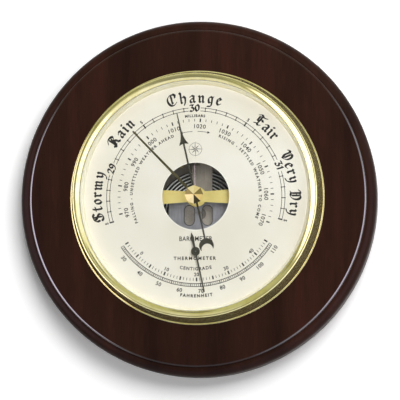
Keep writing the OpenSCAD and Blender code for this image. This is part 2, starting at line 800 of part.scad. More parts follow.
// Faceted brass knob: a waisted collar and a head cut to eight facets that meet in a point
module set_knob() {
    base = glass_top + 0.5;
    head_r = knob_d / 2;
    color(BRASS) difference() {
        union() {
            rod([0, 0], 3.4, base, base + 1.6);
            translate([0, 0, base + 1.6 - eps]) cylinder(r1 = 3.4, r2 = head_r, h = 1.2, $fn = 8);
            translate([0, 0, base + 2.8 - 2 * eps]) cylinder(r = head_r, h = 1, $fn = 8);
            translate([0, 0, base + 3.8 - 3 * eps]) cylinder(r1 = head_r, r2 = 0.4, h = 1.6, $fn = 8);
        }
        rod([0, 0], 1.2, base - 1, glass_top + 3);
    }
}

// From the bench frame to the wall: y becomes up, z becomes towards the viewer
module upright() {
    rotate([90, 0, 0]) children();
}

upright() wood_base();
upright() hanger_plate();
upright() hanger_screws();
upright() instrument_case();
upright() case_screws();
upright() bezel();
upright() glass();
upright() glass_gasket();
upright() spacer_ring();
upright() dial();
upright() movement_plate();
upright() movement_posts();
upright() movement_screws();
upright() bridge_pillars();
upright() lower_bridge();
upright() bridge_spacers();
upright() front_bridge();
upright() bridge_screws();
upright() capsule_lower();
upright() capsule_upper();
upright() capsule_nut();
upright() capsule_post();
upright() knife_pin();
upright() spring_bridge();
upright() spring_bridge_screws();
upright() mainspring_root();
upright() mainspring_bend();
upright() mainspring_leaf();
upright() mainspring_screws();
upright() main_lever();
upright() lever_rivets();
upright() lever_pin();
upright() link();
upright() rocker_bracket();
upright() bracket_screws();
upright() rocker_pivots();
upright() rocker_shaft();
upright() crank_arm();
upright() chain_arm();
upright() chain();
upright() pointer_arbor();
upright() chain_drum();
upright() hairspring();
upright() hairspring_stud();
upright() pressure_hand();
upright() hand_bush();
upright() adjusting_screw();
upright() thermometer_bush();
upright() thermometer_staff();
upright() thermometer_hand();
upright() bimetal_coil();
upright() thermometer_bracket();
upright() thermometer_rivets();
upright() set_spindle();
upright() set_washers();
upright() set_hand();
upright() set_knob();
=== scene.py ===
"""A round wall barometer: looks, dial printing, camera and light.

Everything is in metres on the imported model's frame: +Z is up towards 12 o'clock, the wall is
the plane y = 0 and the dial faces -Y. Most numbers below are bench millimetres, (x, y, h) with
h the height above the wall, and front() turns them into the frame.
"""

import json
import math

import bmesh
import bpy
import numpy as np
from mathutils import Matrix, Vector
from mathutils.geometry import convex_hull_2d, delaunay_2d_cdt


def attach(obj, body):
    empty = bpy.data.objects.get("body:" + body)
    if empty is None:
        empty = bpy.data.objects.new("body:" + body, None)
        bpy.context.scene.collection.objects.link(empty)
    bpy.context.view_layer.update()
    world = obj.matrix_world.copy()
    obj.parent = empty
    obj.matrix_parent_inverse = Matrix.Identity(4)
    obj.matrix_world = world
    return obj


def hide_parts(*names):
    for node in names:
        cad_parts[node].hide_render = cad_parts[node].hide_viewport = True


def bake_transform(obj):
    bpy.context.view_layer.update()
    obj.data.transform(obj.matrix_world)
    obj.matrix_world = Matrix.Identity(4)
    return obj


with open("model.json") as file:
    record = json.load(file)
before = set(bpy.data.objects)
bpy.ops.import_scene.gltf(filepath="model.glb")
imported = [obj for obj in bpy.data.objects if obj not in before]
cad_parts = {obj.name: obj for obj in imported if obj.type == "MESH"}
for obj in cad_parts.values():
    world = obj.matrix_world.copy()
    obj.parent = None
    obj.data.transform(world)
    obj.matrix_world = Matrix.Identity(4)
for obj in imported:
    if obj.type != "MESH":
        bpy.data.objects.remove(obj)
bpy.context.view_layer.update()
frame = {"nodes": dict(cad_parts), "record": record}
TAU = 2 * math.pi

# Levels and radii in millimetres, the same as the model's
WOOD_R, WOOD_T, BORE_R = 101.6, 20.0, 59.2
EDGE_ROUND, EDGE_STEP = 5.7, 1.8
BEZEL_R, CREST_H = 72.5, 36.3
DIAL_H, GLASS_H, GLASS_TOP = 26.6, 31.4, 33.4
DISC_R, APERTURE_R = 66.2, 19.0
CAPSULE = (1.2, -8.7)
WAVE_IN, WAVE_OUT, WAVES = 10.4, 23.4, 7   # the capsule's corrugations
INK_H, INK_FILM = DIAL_H + 0.03, 0.00004


# Small helpers
def front(points):
    """Bench millimetres (x, y, height above the wall) as metres in the frame: (x, -height, y)."""
    p = np.asarray(points, float)
    return np.stack([p[..., 0], -p[..., 2], p[..., 1]], -1) * 0.001


def polar(r, degrees):
    """Point at radius r and an angle counted from 3 o'clock, counter-clockwise."""
    a = np.radians(degrees)
    return np.stack([r * np.cos(a), r * np.sin(a)], -1)


def placed(name, data):
    """A new scene object round the data."""
    obj = bpy.data.objects.new(name, data)
    bpy.context.scene.collection.objects.link(obj)
    return obj


def piece(name, verts, faces, body, material, smooth=None):
    """A mesh piece from metres in the frame; edges under `smooth` degrees are shaded round.
    A piece without a body is left unattached."""
    mesh = bpy.data.meshes.new(name)
    mesh.from_pydata(verts.tolist(), [], faces)
    mesh.update()
    mesh.validate()
    if smooth is not None:
        mesh.shade_smooth()
        mesh.set_sharp_from_angle(angle=math.radians(smooth))
    mesh.materials.append(material)
    obj = placed(name, mesh)
    if body:
        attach(obj, body)
    return obj


def grid_faces(rows, cols, wrap_rows, wrap_cols):
    """Quads of a grid of points numbered row by row; a wrapped direction joins its last line to
    its first."""
    i = np.arange(rows if wrap_rows else rows - 1)
    j = np.arange(cols if wrap_cols else cols - 1)
    i, j = np.meshgrid(i, j, indexing="ij")
    i2, j2 = (i + 1) % rows, (j + 1) % cols
    quads = np.stack([i * cols + j, i * cols + j2, i2 * cols + j2, i2 * cols + j], -1)
    return quads.reshape(-1, 4)


def turned(name, profile, body, material, at=(0, 0), steps=256, closed=True, smooth=30):
    """Surface of revolution about the axis through `at`, square to the dial: profile point (r, h)
    goes to (r cos a, r sin a, h) for `steps` angles a. A closed profile is a ring's section; an open
    one starts and ends on the axis, where a single pole point closes the surface."""
    p = np.asarray(profile, float)
    a = np.linspace(0, TAU, steps, endpoint=False)
    rows = p if closed else p[1:-1]
    r, h = rows[:, :1], rows[:, 1:]
    points = np.stack([at[0] + r * np.cos(a), at[1] + r * np.sin(a), h + 0 * a], -1)
    verts = front(points.reshape(-1, 3))
    faces = grid_faces(len(rows), steps, closed, True).tolist()
    if not closed:
        pole = len(verts)
        verts = np.vstack([verts, front([[*at, p[0, 1]], [*at, p[-1, 1]]])])
        last_row = pole - steps
        for i in range(steps):
            j = (i + 1) % steps
            faces += [[pole, j, i], [pole + 1, last_row + i, last_row + j]]
    obj = piece(name, verts, faces, body, material, smooth)
    outward(obj)
    return obj


def outward(obj):
    """Recalculates a closed piece's normals so that its faces point out."""
    bm = bmesh.new()
    bm.from_mesh(obj.data)
    bmesh.ops.recalc_face_normals(bm, faces=bm.faces)
    bm.to_mesh(obj.data)
    bm.free()


def rounded(corners, steps):
    """Outline from corners (x, y, radius): a corner with a radius becomes an arc tangent to both
    of its sides."""
    out = []
    n = len(corners)
    for i, (x, y, r) in enumerate(corners):
        p = np.array([x, y], float)
        if r <= 0:
            out.append(p)
            continue
        a = np.array(corners[i - 1][:2]) - p
        b = np.array(corners[(i + 1) % n][:2]) - p
        a, b = a / np.linalg.norm(a), b / np.linalg.norm(b)
        half = math.acos(np.clip(a @ b, -1, 1)) / 2
        reach = r / math.tan(half)
        centre = p + (a + b) / np.linalg.norm(a + b) * r / math.sin(half)
        s, e = p + a * reach - centre, p + b * reach - centre
        t0 = math.atan2(s[1], s[0])
        turn = (math.atan2(e[1], e[0]) - t0 + math.pi) % TAU - math.pi
        t = t0 + turn * np.linspace(0, 1, steps + 1)
        out.extend(centre + r * np.stack([np.cos(t), np.sin(t)], -1))
    return np.array(out)


def arc(cx, cy, r, start, end, steps):
    """Points of a circle's arc between two angles in degrees."""
    return polar(r, np.linspace(start, end, steps)) + [cx, cy]


# Materials
def lin(code):
    """sRGB hex colour as linear RGBA."""
    c = np.array([int(code[i : i + 2], 16) for i in (1, 3, 5)]) / 255
    c = np.where(c <= 0.04045, c / 12.92, ((c + 0.055) / 1.055) ** 2.4)
    return (*c.tolist(), 1.0)


def add(tree, kind, ins=None, **settings):
    """Adds a node. `settings` are its properties; `ins` are its inputs, each a value or another
    node's output."""
    n = tree.nodes.new("ShaderNode" + kind)
    for key, value in settings.items():
        setattr(n, key, value)
    for key, value in (ins or {}).items():
        if isinstance(value, bpy.types.NodeSocket):
            tree.links.new(value, n.inputs[key])
        else:
            n.inputs[key].default_value = value
    return n


def ramp(tree, factor, *stops):
    """Colour ramp through (position, hex colour) stops."""
    n = add(tree, "ValToRGB", {"Fac": factor})
    cr = n.color_ramp
    while len(cr.elements) > len(stops):
        cr.elements.remove(cr.elements[-1])
    while len(cr.elements) < len(stops):
        cr.elements.new(0.5)
    for e, (position, code) in zip(cr.elements, stops):
        e.position, e.color = position, lin(code)
    return n.outputs["Color"]


def blank(name):
    """An empty material and its node tree."""
    m = bpy.data.materials.new(name)
    m.use_nodes = True
    m.node_tree.nodes.clear()
    return m, m.node_tree


def finish(tree, **inputs):
    """Puts a principled surface on the material's output."""
    names = {k.replace("_", " ").title().replace("Ior", "IOR"): v for k, v in inputs.items()}
    b = add(tree, "BsdfPrincipled", names)
    out = add(tree, "OutputMaterial")
    tree.links.new(b.outputs["BSDF"], out.inputs["Surface"])


def place(tree, scale):
    """Object coordinates stretched by `scale` per metre along x, y and z."""
    co = add(tree, "TexCoord").outputs["Object"]
    return add(tree, "Mapping", {"Vector": co, "Scale": scale}).outputs["Vector"]


def noise(tree, repeats, detail=4.0, roughness=0.5):
    """Soft noise with `repeats` per metre along x, y and z (or one number for all three)."""
    if not isinstance(repeats, tuple):
        repeats = (repeats, repeats, repeats)
    ins = {"Vector": place(tree, repeats), "Scale": 1.0, "Detail": detail, "Roughness": roughness}
    return add(tree, "TexNoise", ins).outputs["Fac"]


def bumps(tree, height, strength, depth):
    """Relief of `depth` metres from a grey pattern, as a normal."""
    ins = {"Height": height, "Strength": strength, "Distance": depth}
    return add(tree, "Bump", ins).outputs["Normal"]


def spread(tree, value, low, high, start=0.0, end=1.0):
    """The value moved from the range start to end into the range low to high."""
    ins = {"Value": value, "From Min": start, "From Max": end, "To Min": low, "To Max": high}
    return add(tree, "MapRange", ins).outputs["Result"]


def math_node(tree, operation, *values):
    """One step of arithmetic."""
    return add(tree, "Math", dict(enumerate(values)), operation=operation).outputs["Value"]


def mixed(tree, factor, first, second):
    """Two colours mixed by the factor."""
    return add(tree, "Mix", {"Factor": factor, 6: first, 7: second}, data_type="RGBA").outputs[2]


def blended(tree, factor, first, second):
    """Two grey patterns mixed by the factor."""
    return add(tree, "Mix", {"Factor": factor, 2: first, 3: second}).outputs["Result"]


def from_axis(tree):
    """Distance from the dial's axis in metres."""
    flat = place(tree, (1, 0, 1))
    return add(tree, "VectorMath", {0: flat}, operation="LENGTH").outputs["Value"]


def mahogany():
    """Stained mahogany under satin lacquer: near black-brown with redder bands and fine upright
    pores, and a glossy bead of lacquer along the rounded corner."""
    m, t = blank("stained_mahogany")
    # growth bands about 14 mm wide that run up the board; pores 0.7 mm wide and 14 mm long
    bands = noise(t, (70, 70, 6), 4.0, 0.55)
    fibres = noise(t, (1500, 1500, 70), 3.0, 0.7)
    both = blended(t, 0.35, bands, fibres)
    colour = ramp(t, both, (0.30, "#1d100c"), (0.5, "#2a1812"), (0.70, "#391f18"))
    # lacquer gathers in a thick bead 1.2 mm wide along the corner of the face
    corner = (WOOD_R - EDGE_ROUND) / 1000
    far = from_axis(t)
    inner = spread(t, far, 0.0, 1.0, corner - 0.0013, corner - 0.0011)
    outer = spread(t, far, 1.0, 0.0, corner, corner + 0.0001)
    bead = math_node(t, "MULTIPLY", inner, outer)
    # it ran down while it dried, so it is thickest 15 degrees below the middle on both sides
    outwards = add(t, "VectorMath", {0: place(t, (1, 0, 1))}, operation="NORMALIZE").outputs[0]
    part = add(t, "SeparateXYZ", {"Vector": outwards}).outputs
    drop = math_node(t, "MULTIPLY", part["Z"], -0.26)
    low_side = math_node(t, "MULTIPLY_ADD", math_node(t, "ABSOLUTE", part["X"]), 0.966, drop)
    run = spread(t, low_side, 0.12, 1.0, 0.55, 0.95)
    finish(t, base_color=colour, roughness=spread(t, fibres, 0.22, 0.42),
           normal=bumps(t, fibres, 0.12, 0.0001), specular_ior_level=0.07,
           coat_weight=math_node(t, "MULTIPLY", bead, run), coat_roughness=0.12, coat_ior=2.6)
    return m


def brass(name, light, dark, rough, ring_mm, wear, metallic=1.0):
    """Brass: faint lathe rings every ring_mm and soft stains of tarnish about 11 mm across, where
    it is rougher by `wear`. Lacquered or dull brass is partly matt, so not fully metallic."""
    m, t = blank(name)
    turns = math_node(t, "MULTIPLY", from_axis(t), 1000 / ring_mm)
    along = add(t, "CombineXYZ", {"X": turns}).outputs["Vector"]
    rings = add(t, "TexNoise", {"Vector": along, "Scale": 1.0, "Detail": 2.0}).outputs["Fac"]
    stain = noise(t, 90, 5.0, 0.6)
    finish(t, base_color=ramp(t, stain, (0.35, dark), (0.6, light)), metallic=metallic,
           roughness=spread(t, stain, rough + wear, rough, 0.3, 0.7),
           normal=bumps(t, rings, 0.05, 0.0001))
    return m


def steel(name, light, dark, rough, grain, metallic=1.0):
    """Rolled or turned steel: fine lines along `grain` (repeats per metre on x, y, z) over a soft
    mottling 6 mm across."""
    m, t = blank(name)
    lines = noise(t, grain, 3.0, 0.6)
    both = blended(t, 0.4, lines, noise(t, 160))
    finish(t, base_color=ramp(t, both, (0.35, dark), (0.65, light)), metallic=metallic,
           roughness=spread(t, lines, rough - 0.06, rough + 0.1),
           normal=bumps(t, lines, 0.1, 0.00005))
    return m


def cream_paint():
    """Sprayed cream enamel: warm mottling 36 mm across under orange peel of 0.6 mm."""
    m, t = blank("cream_enamel")
    colour = ramp(t, noise(t, 28, 3.0), (0.35, "#ece6d7"), (0.65, "#f4f0e5"))
    peel = noise(t, 1800, 2.0)
    finish(t, base_color=colour, roughness=0.55, normal=bumps(t, peel, 0.04, 0.00005))
    return m


def milky_ring():
    """Moulded cream plastic with cloudy flow marks 8 mm across: light soaks a few millimetres into
    it, so its shaded side stays pale."""
    m, t = blank("cream_moulded_ring")
    cloud = noise(t, 120, 3.0)
    colour = ramp(t, cloud, (0.35, "#faeed0"), (0.65, "#fff6de"))
    finish(t, base_color=colour, roughness=0.6, normal=bumps(t, cloud, 0.04, 0.00005),
           specular_ior_level=0.15, subsurface_weight=1.0, subsurface_radius=(1.0, 0.95, 0.85),
           subsurface_scale=0.004)
    return m


def matt(name, light, dark, rough, scale, relief=0.1, gloss=0.5):
    """A plain matt or satin coat with a fine mottling of `scale` repeats per metre."""
    m, t = blank(name)
    cloud = noise(t, scale)
    finish(t, base_color=ramp(t, cloud, (0.35, dark), (0.65, light)), roughness=rough,
           normal=bumps(t, cloud, relief, 0.00005), specular_ior_level=gloss)
    return m


def capsule_skin():
    """Pressed capsule: black lacquer over the corrugations with a painted highlight, white, along their
    crests, and bare nickel silver on the flat middle. The unevenness is 1.1 mm across."""
    m, t = blank("lacquered_capsule_skin")
    co = add(t, "TexCoord").outputs["Object"]
    centre = (-CAPSULE[0] / 1000, 0, -CAPSULE[1] / 1000)
    flat = add(t, "Mapping", {"Vector": co, "Location": centre, "Scale": (1, 0, 1)}).outputs["Vector"]
    r = add(t, "VectorMath", {0: flat}, operation="LENGTH").outputs["Value"]
    # the lacquer ends on a soft, slightly uneven line 10.4 mm from the middle
    uneven = add(t, "TexNoise", {"Vector": co, "Scale": 900.0, "Detail": 3.0}).outputs["Fac"]
    edge = math_node(t, "MULTIPLY_ADD", uneven, 0.0006, r)
    bare = spread(t, edge, 1.0, 0.0, 0.0105, 0.0109)
    worn = ramp(t, uneven, (0.35, "#ece2d2"), (0.65, "#faf3e8"))
    black = ramp(t, uneven, (0.35, "#0e0e0c"), (0.65, "#1a1a17"))
    wave_in, wave_run = WAVE_IN / 1000, (WAVE_OUT - WAVE_IN) / 1000
    turns = math_node(t, "MULTIPLY_ADD", r, TAU * WAVES / wave_run, -TAU * WAVES * wave_in / wave_run)
    # painted highlight: the crests are painted white to stand in for the light they mirror
    painted_crest_highlight = spread(t, math_node(t, "SINE", turns), 0.0, 1.0, 0.1, 0.7)
    skin = mixed(t, painted_crest_highlight, black, lin("#ffffff"))
    finish(t, base_color=mixed(t, bare, skin, worn), metallic=math_node(t, "MULTIPLY", bare, 0.4),
           roughness=spread(t, bare, 0.2, 0.42), normal=bumps(t, uneven, 0.05, 0.00005),
           specular_ior_level=0.2)
    return m


def cut_knob():
    """Turned brass knob cut to eight facets, each painted its own tone: painted light on the bright
    facets and painted shade on the dark brown ones. A soft mottling 3 mm across breaks up each facet."""
    m, t = blank("cut_brass_knob")
    part = add(t, "SeparateXYZ", {"Vector": add(t, "TexCoord").outputs["Object"]}).outputs
    around = math_node(t, "ARCTAN2", part["Z"], part["X"])
    turn = spread(t, around, 0.0, 1.0, -math.pi, math.pi)
    # one tone of painted light and shade for each facet of 45 degrees, from 9 o'clock by 6, 3 and 12
    # o'clock
    facet_light_and_shade_tones = ("#d9c486", "#f0dfa4", "#3a3318", "#c9b168", "#7a6c38", "#dcc98a", "#f3e4ac", "#8a7a44")
    facets = ramp(t, turn, *((k / 8, tone) for k, tone in enumerate(facet_light_and_shade_tones)))
    facets.node.color_ramp.interpolation = "CONSTANT"
    cloud = noise(t, 300)
    finish(t, base_color=facets, metallic=0.5, roughness=spread(t, cloud, 0.3, 0.5),
           normal=bumps(t, cloud, 0.05, 0.0001))
    return m


def clear_glass():
    """Float glass: clear, with a faint unevenness 40 mm across. Shadows and bounced light pass
    straight through it."""
    m, t = blank("float_glass")
    b = add(t, "BsdfPrincipled", {"Base Color": (1, 1, 1, 1), "Roughness": 0.0, "IOR": 1.5,
                                  "Transmission Weight": 1.0,
                                  "Normal": bumps(t, noise(t, 25, 1.0), 0.02, 0.0002)})
    clear = add(t, "BsdfTransparent", {"Color": (0.97, 0.98, 0.97, 1)})
    path = add(t, "LightPath").outputs
    through = math_node(t, "MAXIMUM", path["Is Shadow Ray"], path["Is Diffuse Ray"])
    mix = add(t, "MixShader", {0: through, 1: b.outputs["BSDF"], 2: clear.outputs["BSDF"]})
    out = add(t, "OutputMaterial")
    t.links.new(mix.outputs["Shader"], out.inputs["Surface"])
    return m


# turned ring of the case: stained, lacquered mahogany
WOOD = mahogany()
# bezel: spun, polished and lacquered; lathe rings 0.35 mm apart
BEZEL_BRASS = brass("polished_brass", "#eee6a8", "#dfd58c", 0.06, 0.35, 0.04, 0.78)
# bridges and brackets: sheet as it leaves the shears; rings 0.6 mm apart
DULL_BRASS = brass("sheared_brass", "#f9e894", "#ead67e", 0.34, 0.6, 0.12, 0.4)
# hub of the set hand: rolled and buffed; rings 0.5 mm apart
HAND_BRASS = brass("bright_rolled_brass", "#e4d596", "#d3c07c", 0.16, 0.5, 0.06)
# set hand: folded strip, painted dark: painted shade standing in for the dark reflection in its wide
# facet; rings 0.5 mm apart
SET_BRASS = brass("shade_painted_brass_strip", "#5e5838", "#4e492d", 0.3, 0.5, 0.06, 0.6)
# knob: turned and cut to facets, with painted light and shade on the facets
KNOB_BRASS = cut_knob()
# dial: sprayed enamel
CREAM = cream_paint()
# printing: screened matt ink, grain 0.5 mm
INK = matt("printing_ink", "#16130f", "#0c0a08", 0.6, 2200)
# cover: float glass
GLASS = clear_glass()
# gasket: pressed fibre, fibres 1.1 mm
GASKET = matt("grey_fibre_gasket", "#a7a294", "#8d887b", 0.8, 900)
# washers: moulded nylon, clouds 1.7 mm
NYLON = matt("pale_nylon", "#dcd6c6", "#c9c2b0", 0.45, 600)
# movement plate: stoved lacquer, mottling 2 mm; also the painted shade round the slots
BLACK = matt("black_lacquer", "#17150f", "#0d0c0a", 0.28, 500, 0.03, 0.2)
# hands: dipped satin lacquer, mottling 1.4 mm
HAND_LACQUER = matt("satin_hand_lacquer", "#403f33", "#333228", 0.3, 700, 0.04)
# screws and pins: turned steel, lines 0.4 mm apart
SCREW_STEEL = steel("turned_screw_steel", "#b9b9bb", "#8d8d90", 0.28, (300, 300, 2500))
# lever, posts and plates: rolled sheet, lines 0.4 mm wide and 8 mm long
PLATE_STEEL = steel("rolled_grey_steel", "#b6aea2", "#938c80", 0.36, (2600, 300, 120), 0.45)
# mainspring leaf: hardened and blued strip, the same rolling lines
SPRING_STEEL = steel("blued_spring_steel", "#c2c3ca", "#a0a1a8", 0.36, (2600, 300, 120), 0.45)
# capsule: pressed and lacquered nickel silver
CAPSULE_SKIN = capsule_skin()
# chain: drawn and brightened wire, drawing marks 1.1 mm
CHAIN_STEEL = steel("bright_chain_wire", "#f6e6e4", "#dcc9c7", 0.24, (900, 900, 900), 0.5)
# ring between dial and glass: moulded plastic
RING_PLASTIC = milky_ring()
# edge of the dial's opening: enamel gathered thick, mottling 1.1 mm
PALE_EDGE = matt("thick_edge_paint", "#fffdf4", "#fbf8ea", 0.45, 900)

SLOT_LOOK = {
    "mahogany": WOOD, "polished_brass": BEZEL_BRASS, "dull_brass": DULL_BRASS, "glass": GLASS,
    "cream_enamel": CREAM, "grey_gasket": GASKET, "nylon": NYLON, "black_lacquer": BLACK,
    "bright_steel": SCREW_STEEL, "grey_steel": PLATE_STEEL, "nickel_skin": CAPSULE_SKIN,
}
NODE_LOOK = {
    "set_knob": KNOB_BRASS, "thermometer_rivets": CREAM, "capsule_post": PLATE_STEEL,
    "thermometer_hand": HAND_LACQUER, "thermometer_staff": SCREW_STEEL,
}
for entry in frame["record"]["subparts"]:
    node = frame["nodes"][entry["node"]]
    for s in node.material_slots:
        s.material = SLOT_LOOK[entry["material_slot"]]
for name, look in NODE_LOOK.items():
    frame["nodes"][name].material_slots[0].material = look

# Camera: it looks from a little right of and below the middle, as the photographer did
AZIMUTH, ELEVATION, DISTANCE = 5.75, -5.4, 1.6
AIM = Vector((0.0017, -0.020, -0.00154))
PHOTO_SIDE_PX, PX_PER_MM, SENSOR_MM = 400, 1.767, 36.0
FRAME_WIDTH = PHOTO_SIDE_PX / PX_PER_MM / 1000
cam_data = bpy.data.cameras.new("camera")
cam = placed("camera", cam_data)
az, el = math.radians(AZIMUTH), math.radians(ELEVATION)
back = Vector((math.sin(az) * math.cos(el), -math.cos(az) * math.cos(el), math.sin(el)))
right = (-back).cross(Vector((0, 0, 1))).normalized()
cam_up = right.cross(-back).normalized()
turned_to_aim = Matrix((right, cam_up, back)).transposed().to_4x4()
cam.matrix_world = Matrix.Translation(AIM + back * DISTANCE) @ turned_to_aim
cam_data.sensor_fit = "HORIZONTAL"
cam_data.sensor_width = SENSOR_MM
cam_data.lens = SENSOR_MM * DISTANCE / FRAME_WIDTH
cam_data.clip_end = 20
bpy.context.scene.camera = cam

# Wood ring: quarter round, step and rounded corner on the outside, then the flat face
side_h = WOOD_T - EDGE_STEP - EDGE_ROUND
face_r, step_h = WOOD_R - EDGE_ROUND, WOOD_T - EDGE_STEP
BACK_ROUND, CORNER_ROUND, BORE_CHAMFER = 1, 1.3, 0.25
wood_line = np.vstack([
    [[BORE_R, BORE_CHAMFER], [BORE_R + BORE_CHAMFER, 0]],
    arc(WOOD_R - BACK_ROUND, BACK_ROUND, BACK_ROUND, -90, 0, 8),
    arc(face_r, side_h, EDGE_ROUND, 0, 88, 26),
    rounded([(face_r + 0.25, step_h, 0), (face_r, step_h, 0.15), (face_r, WOOD_T - 1.4, 0)], 4)[1:-1],
    arc(face_r - CORNER_ROUND, WOOD_T - CORNER_ROUND, CORNER_ROUND, 0, 90, 14),
    [[BORE_R + 12, WOOD_T], [BORE_R + 0.2, WOOD_T], [BORE_R, WOOD_T - 0.2]],
])
wood = turned("turned_wood_ring", wood_line, "case_body", WOOD, steps=360)

# A cutter of two boxes, (low corner, high corner): the hanger's seat and the deeper pocket behind
# its keyhole for the nail's head
BOXES = ((-22, 71, -1), (22, 87, 1.6)), ((-9, 72, -0.9), (9, 86, 8))
BOX_SIDES = ([0, 3, 2, 1], [4, 5, 6, 7], [0, 1, 5, 4], [1, 2, 6, 5], [2, 3, 7, 6], [3, 0, 4, 7])
cutter = placed("cutter", bpy.data.meshes.new("cutter"))
box_corners = []
for low, high in BOXES:
    level = ((low[0], low[1]), (high[0], low[1]), (high[0], high[1]), (low[0], high[1]))
    box_corners += [(*corner, h) for h in (low[2], high[2]) for corner in level]
box_faces = [[8 * k + i for i in side] for k in range(len(BOXES)) for side in BOX_SIDES]
cutter.data.from_pydata(front(box_corners).tolist(), [], box_faces)
cutter.data.update()
cut = wood.modifiers.new("hanger_seat", "BOOLEAN")
cut.operation, cut.solver, cut.object = "DIFFERENCE", "EXACT", cutter
cut.use_self = True
bpy.context.view_layer.update()
shape = bpy.data.meshes.new_from_object(wood.evaluated_get(bpy.context.evaluated_depsgraph_get()))
wood.modifiers.clear()
wood.data = shape
bpy.data.objects.remove(cutter)
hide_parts("wood_base")

# Bezel: bead on the wood, steep wall, tight crest, then a slope that bows in to the lip over the glass
rim, rim_round = (BEZEL_R - 0.45, WOOD_T + 0.35), 0.25
crest, crest_round = (BEZEL_R - 4.3, CREST_H - 0.98), 0.9
slope, slope_round = (BEZEL_R - 3.25, CREST_H - 5.97), 6.0
wall_foot, wall_head = (BEZEL_R - 0.8, WOOD_T + 0.65, 0.12), (BEZEL_R - 3.41, CREST_H - 0.82, 0)
lip_r, lip_h, bore_r = BEZEL_R - 7.35, GLASS_TOP + 0.4, DISC_R + 0.2
inner_r, inner_foot = DISC_R + 0.9, WOOD_T + 0.8
bezel_line = np.vstack([
    [[BEZEL_R - 1.3, WOOD_T], [BEZEL_R - 0.35, WOOD_T]],
    arc(*rim, rim_round, -30, 100, 10),
    rounded([(BEZEL_R - 0.5, WOOD_T + 0.6, 0), wall_foot, wall_head], 5)[1:-1],
    arc(*crest, crest_round, 10, 98, 12),
    arc(*slope, slope_round, 104, 132, 14),
    [[lip_r, GLASS_TOP + 1.1], [lip_r, GLASS_TOP + 0.6], [BEZEL_R - 7.2, lip_h]],
    [[bore_r, lip_h], [bore_r, inner_foot], [inner_r, inner_foot]],
    [[inner_r, CREST_H - 2.6], [BEZEL_R - 4.5, CREST_H - 1.6], [BEZEL_R - 4.2, CREST_H - 2.4]],
    [[BEZEL_R - 2.2, WOOD_T + 1.5], [BEZEL_R - 1.4, WOOD_T + 1.0]],
])
bezel = turned("brass_bezel", bezel_line, "case_body", BEZEL_BRASS, steps=360, smooth=35)
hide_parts("bezel")
bezel.visible_shadow = False   # the studio's light comes in over the bezel from all round

# Cream ring between dial and glass, with an undercut foot and a groove near its top
FOOT_R, HEAD_R, GROOVE_UP, GROOVE_IN, UNDERCUT = 63.1, 64.4, 3.3, 0.45, 0.6
lean = (HEAD_R - FOOT_R) / (GLASS_H - DIAL_H)
groove_h = DIAL_H + GROOVE_UP
groove_r = FOOT_R + lean * GROOVE_UP
spacer_line = [
    (DISC_R, DIAL_H), (DISC_R, GLASS_H), (HEAD_R + 0.2, GLASS_H), (HEAD_R, GLASS_H - 0.15),
    (groove_r + 0.1, groove_h + 0.25), (groove_r + GROOVE_IN, groove_h + 0.2),
    (groove_r + GROOVE_IN, groove_h - 0.1), (groove_r - 0.12, groove_h - 0.2),
    (FOOT_R + 0.05, DIAL_H + 0.5), (FOOT_R + 0.15, DIAL_H + 0.35),
    (FOOT_R + UNDERCUT, DIAL_H + 0.3), (FOOT_R + UNDERCUT, DIAL_H),
]
spacer = turned("cream_spacer_ring", spacer_line, "case_body", RING_PLASTIC)
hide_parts("spacer_ring")
spacer.visible_shadow = False

# The capsule's upper skin: a flat middle, seven round corrugations and a rolled rim
CAPSULE_R, CAPSULE_MID, CAPSULE_HALF = 25.0, 9.1, 2.1
SKIN_FALL, WAVE_DEPTH = 1.7, 0.3
capsule_top = CAPSULE_MID + CAPSULE_HALF
wave_r = np.linspace(WAVE_IN, WAVE_OUT, 150)
fall = (wave_r - wave_r[0]) / (wave_r[-1] - wave_r[0])
wave_h = capsule_top - fall * SKIN_FALL + WAVE_DEPTH * np.sin(WAVES * TAU * fall)
skin_line = np.vstack([
    [[0, capsule_top], [5, capsule_top]],
    np.stack([wave_r, wave_h], -1),
    [[24.2, CAPSULE_MID + 0.4], [24.8, CAPSULE_MID + 0.3]],
    [[CAPSULE_R, CAPSULE_MID + 0.1], [CAPSULE_R, CAPSULE_MID]],
    [[WAVE_OUT, CAPSULE_MID], [10, CAPSULE_MID + 1.7], [0, CAPSULE_MID + 1.7]],
])
skin = turned("pressed_capsule_skin", skin_line, None, CAPSULE_SKIN, CAPSULE, closed=False, smooth=40)
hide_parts("capsule_upper")
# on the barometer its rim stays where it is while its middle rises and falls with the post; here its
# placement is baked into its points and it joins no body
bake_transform(skin)


def inset(outline, amount):
    """The closed outline moved inwards by `amount`, with its corners mitred but never far."""
    before, after = np.roll(outline, 1, 0), np.roll(outline, -1, 0)
    a, b = outline - before, after - outline
    a /= np.linalg.norm(a, axis=1)[:, None]
    b /= np.linalg.norm(b, axis=1)[:, None]
    way = np.stack([-(a + b)[:, 1], (a + b)[:, 0]], -1)
    way /= np.maximum(np.linalg.norm(way, axis=1), 1e-6)[:, None]
    open_by = np.maximum(np.abs((way * np.stack([-a[:, 1], a[:, 0]], -1)).sum(1)), 0.6)
    return outline + way * amount / open_by[:, None]


def turning(degrees):
    """Matrix that turns rows of flat points counter-clockwise."""
    c, s = math.cos(math.radians(degrees)), math.sin(math.radians(degrees))
    return np.array([[c, s], [-s, c]])


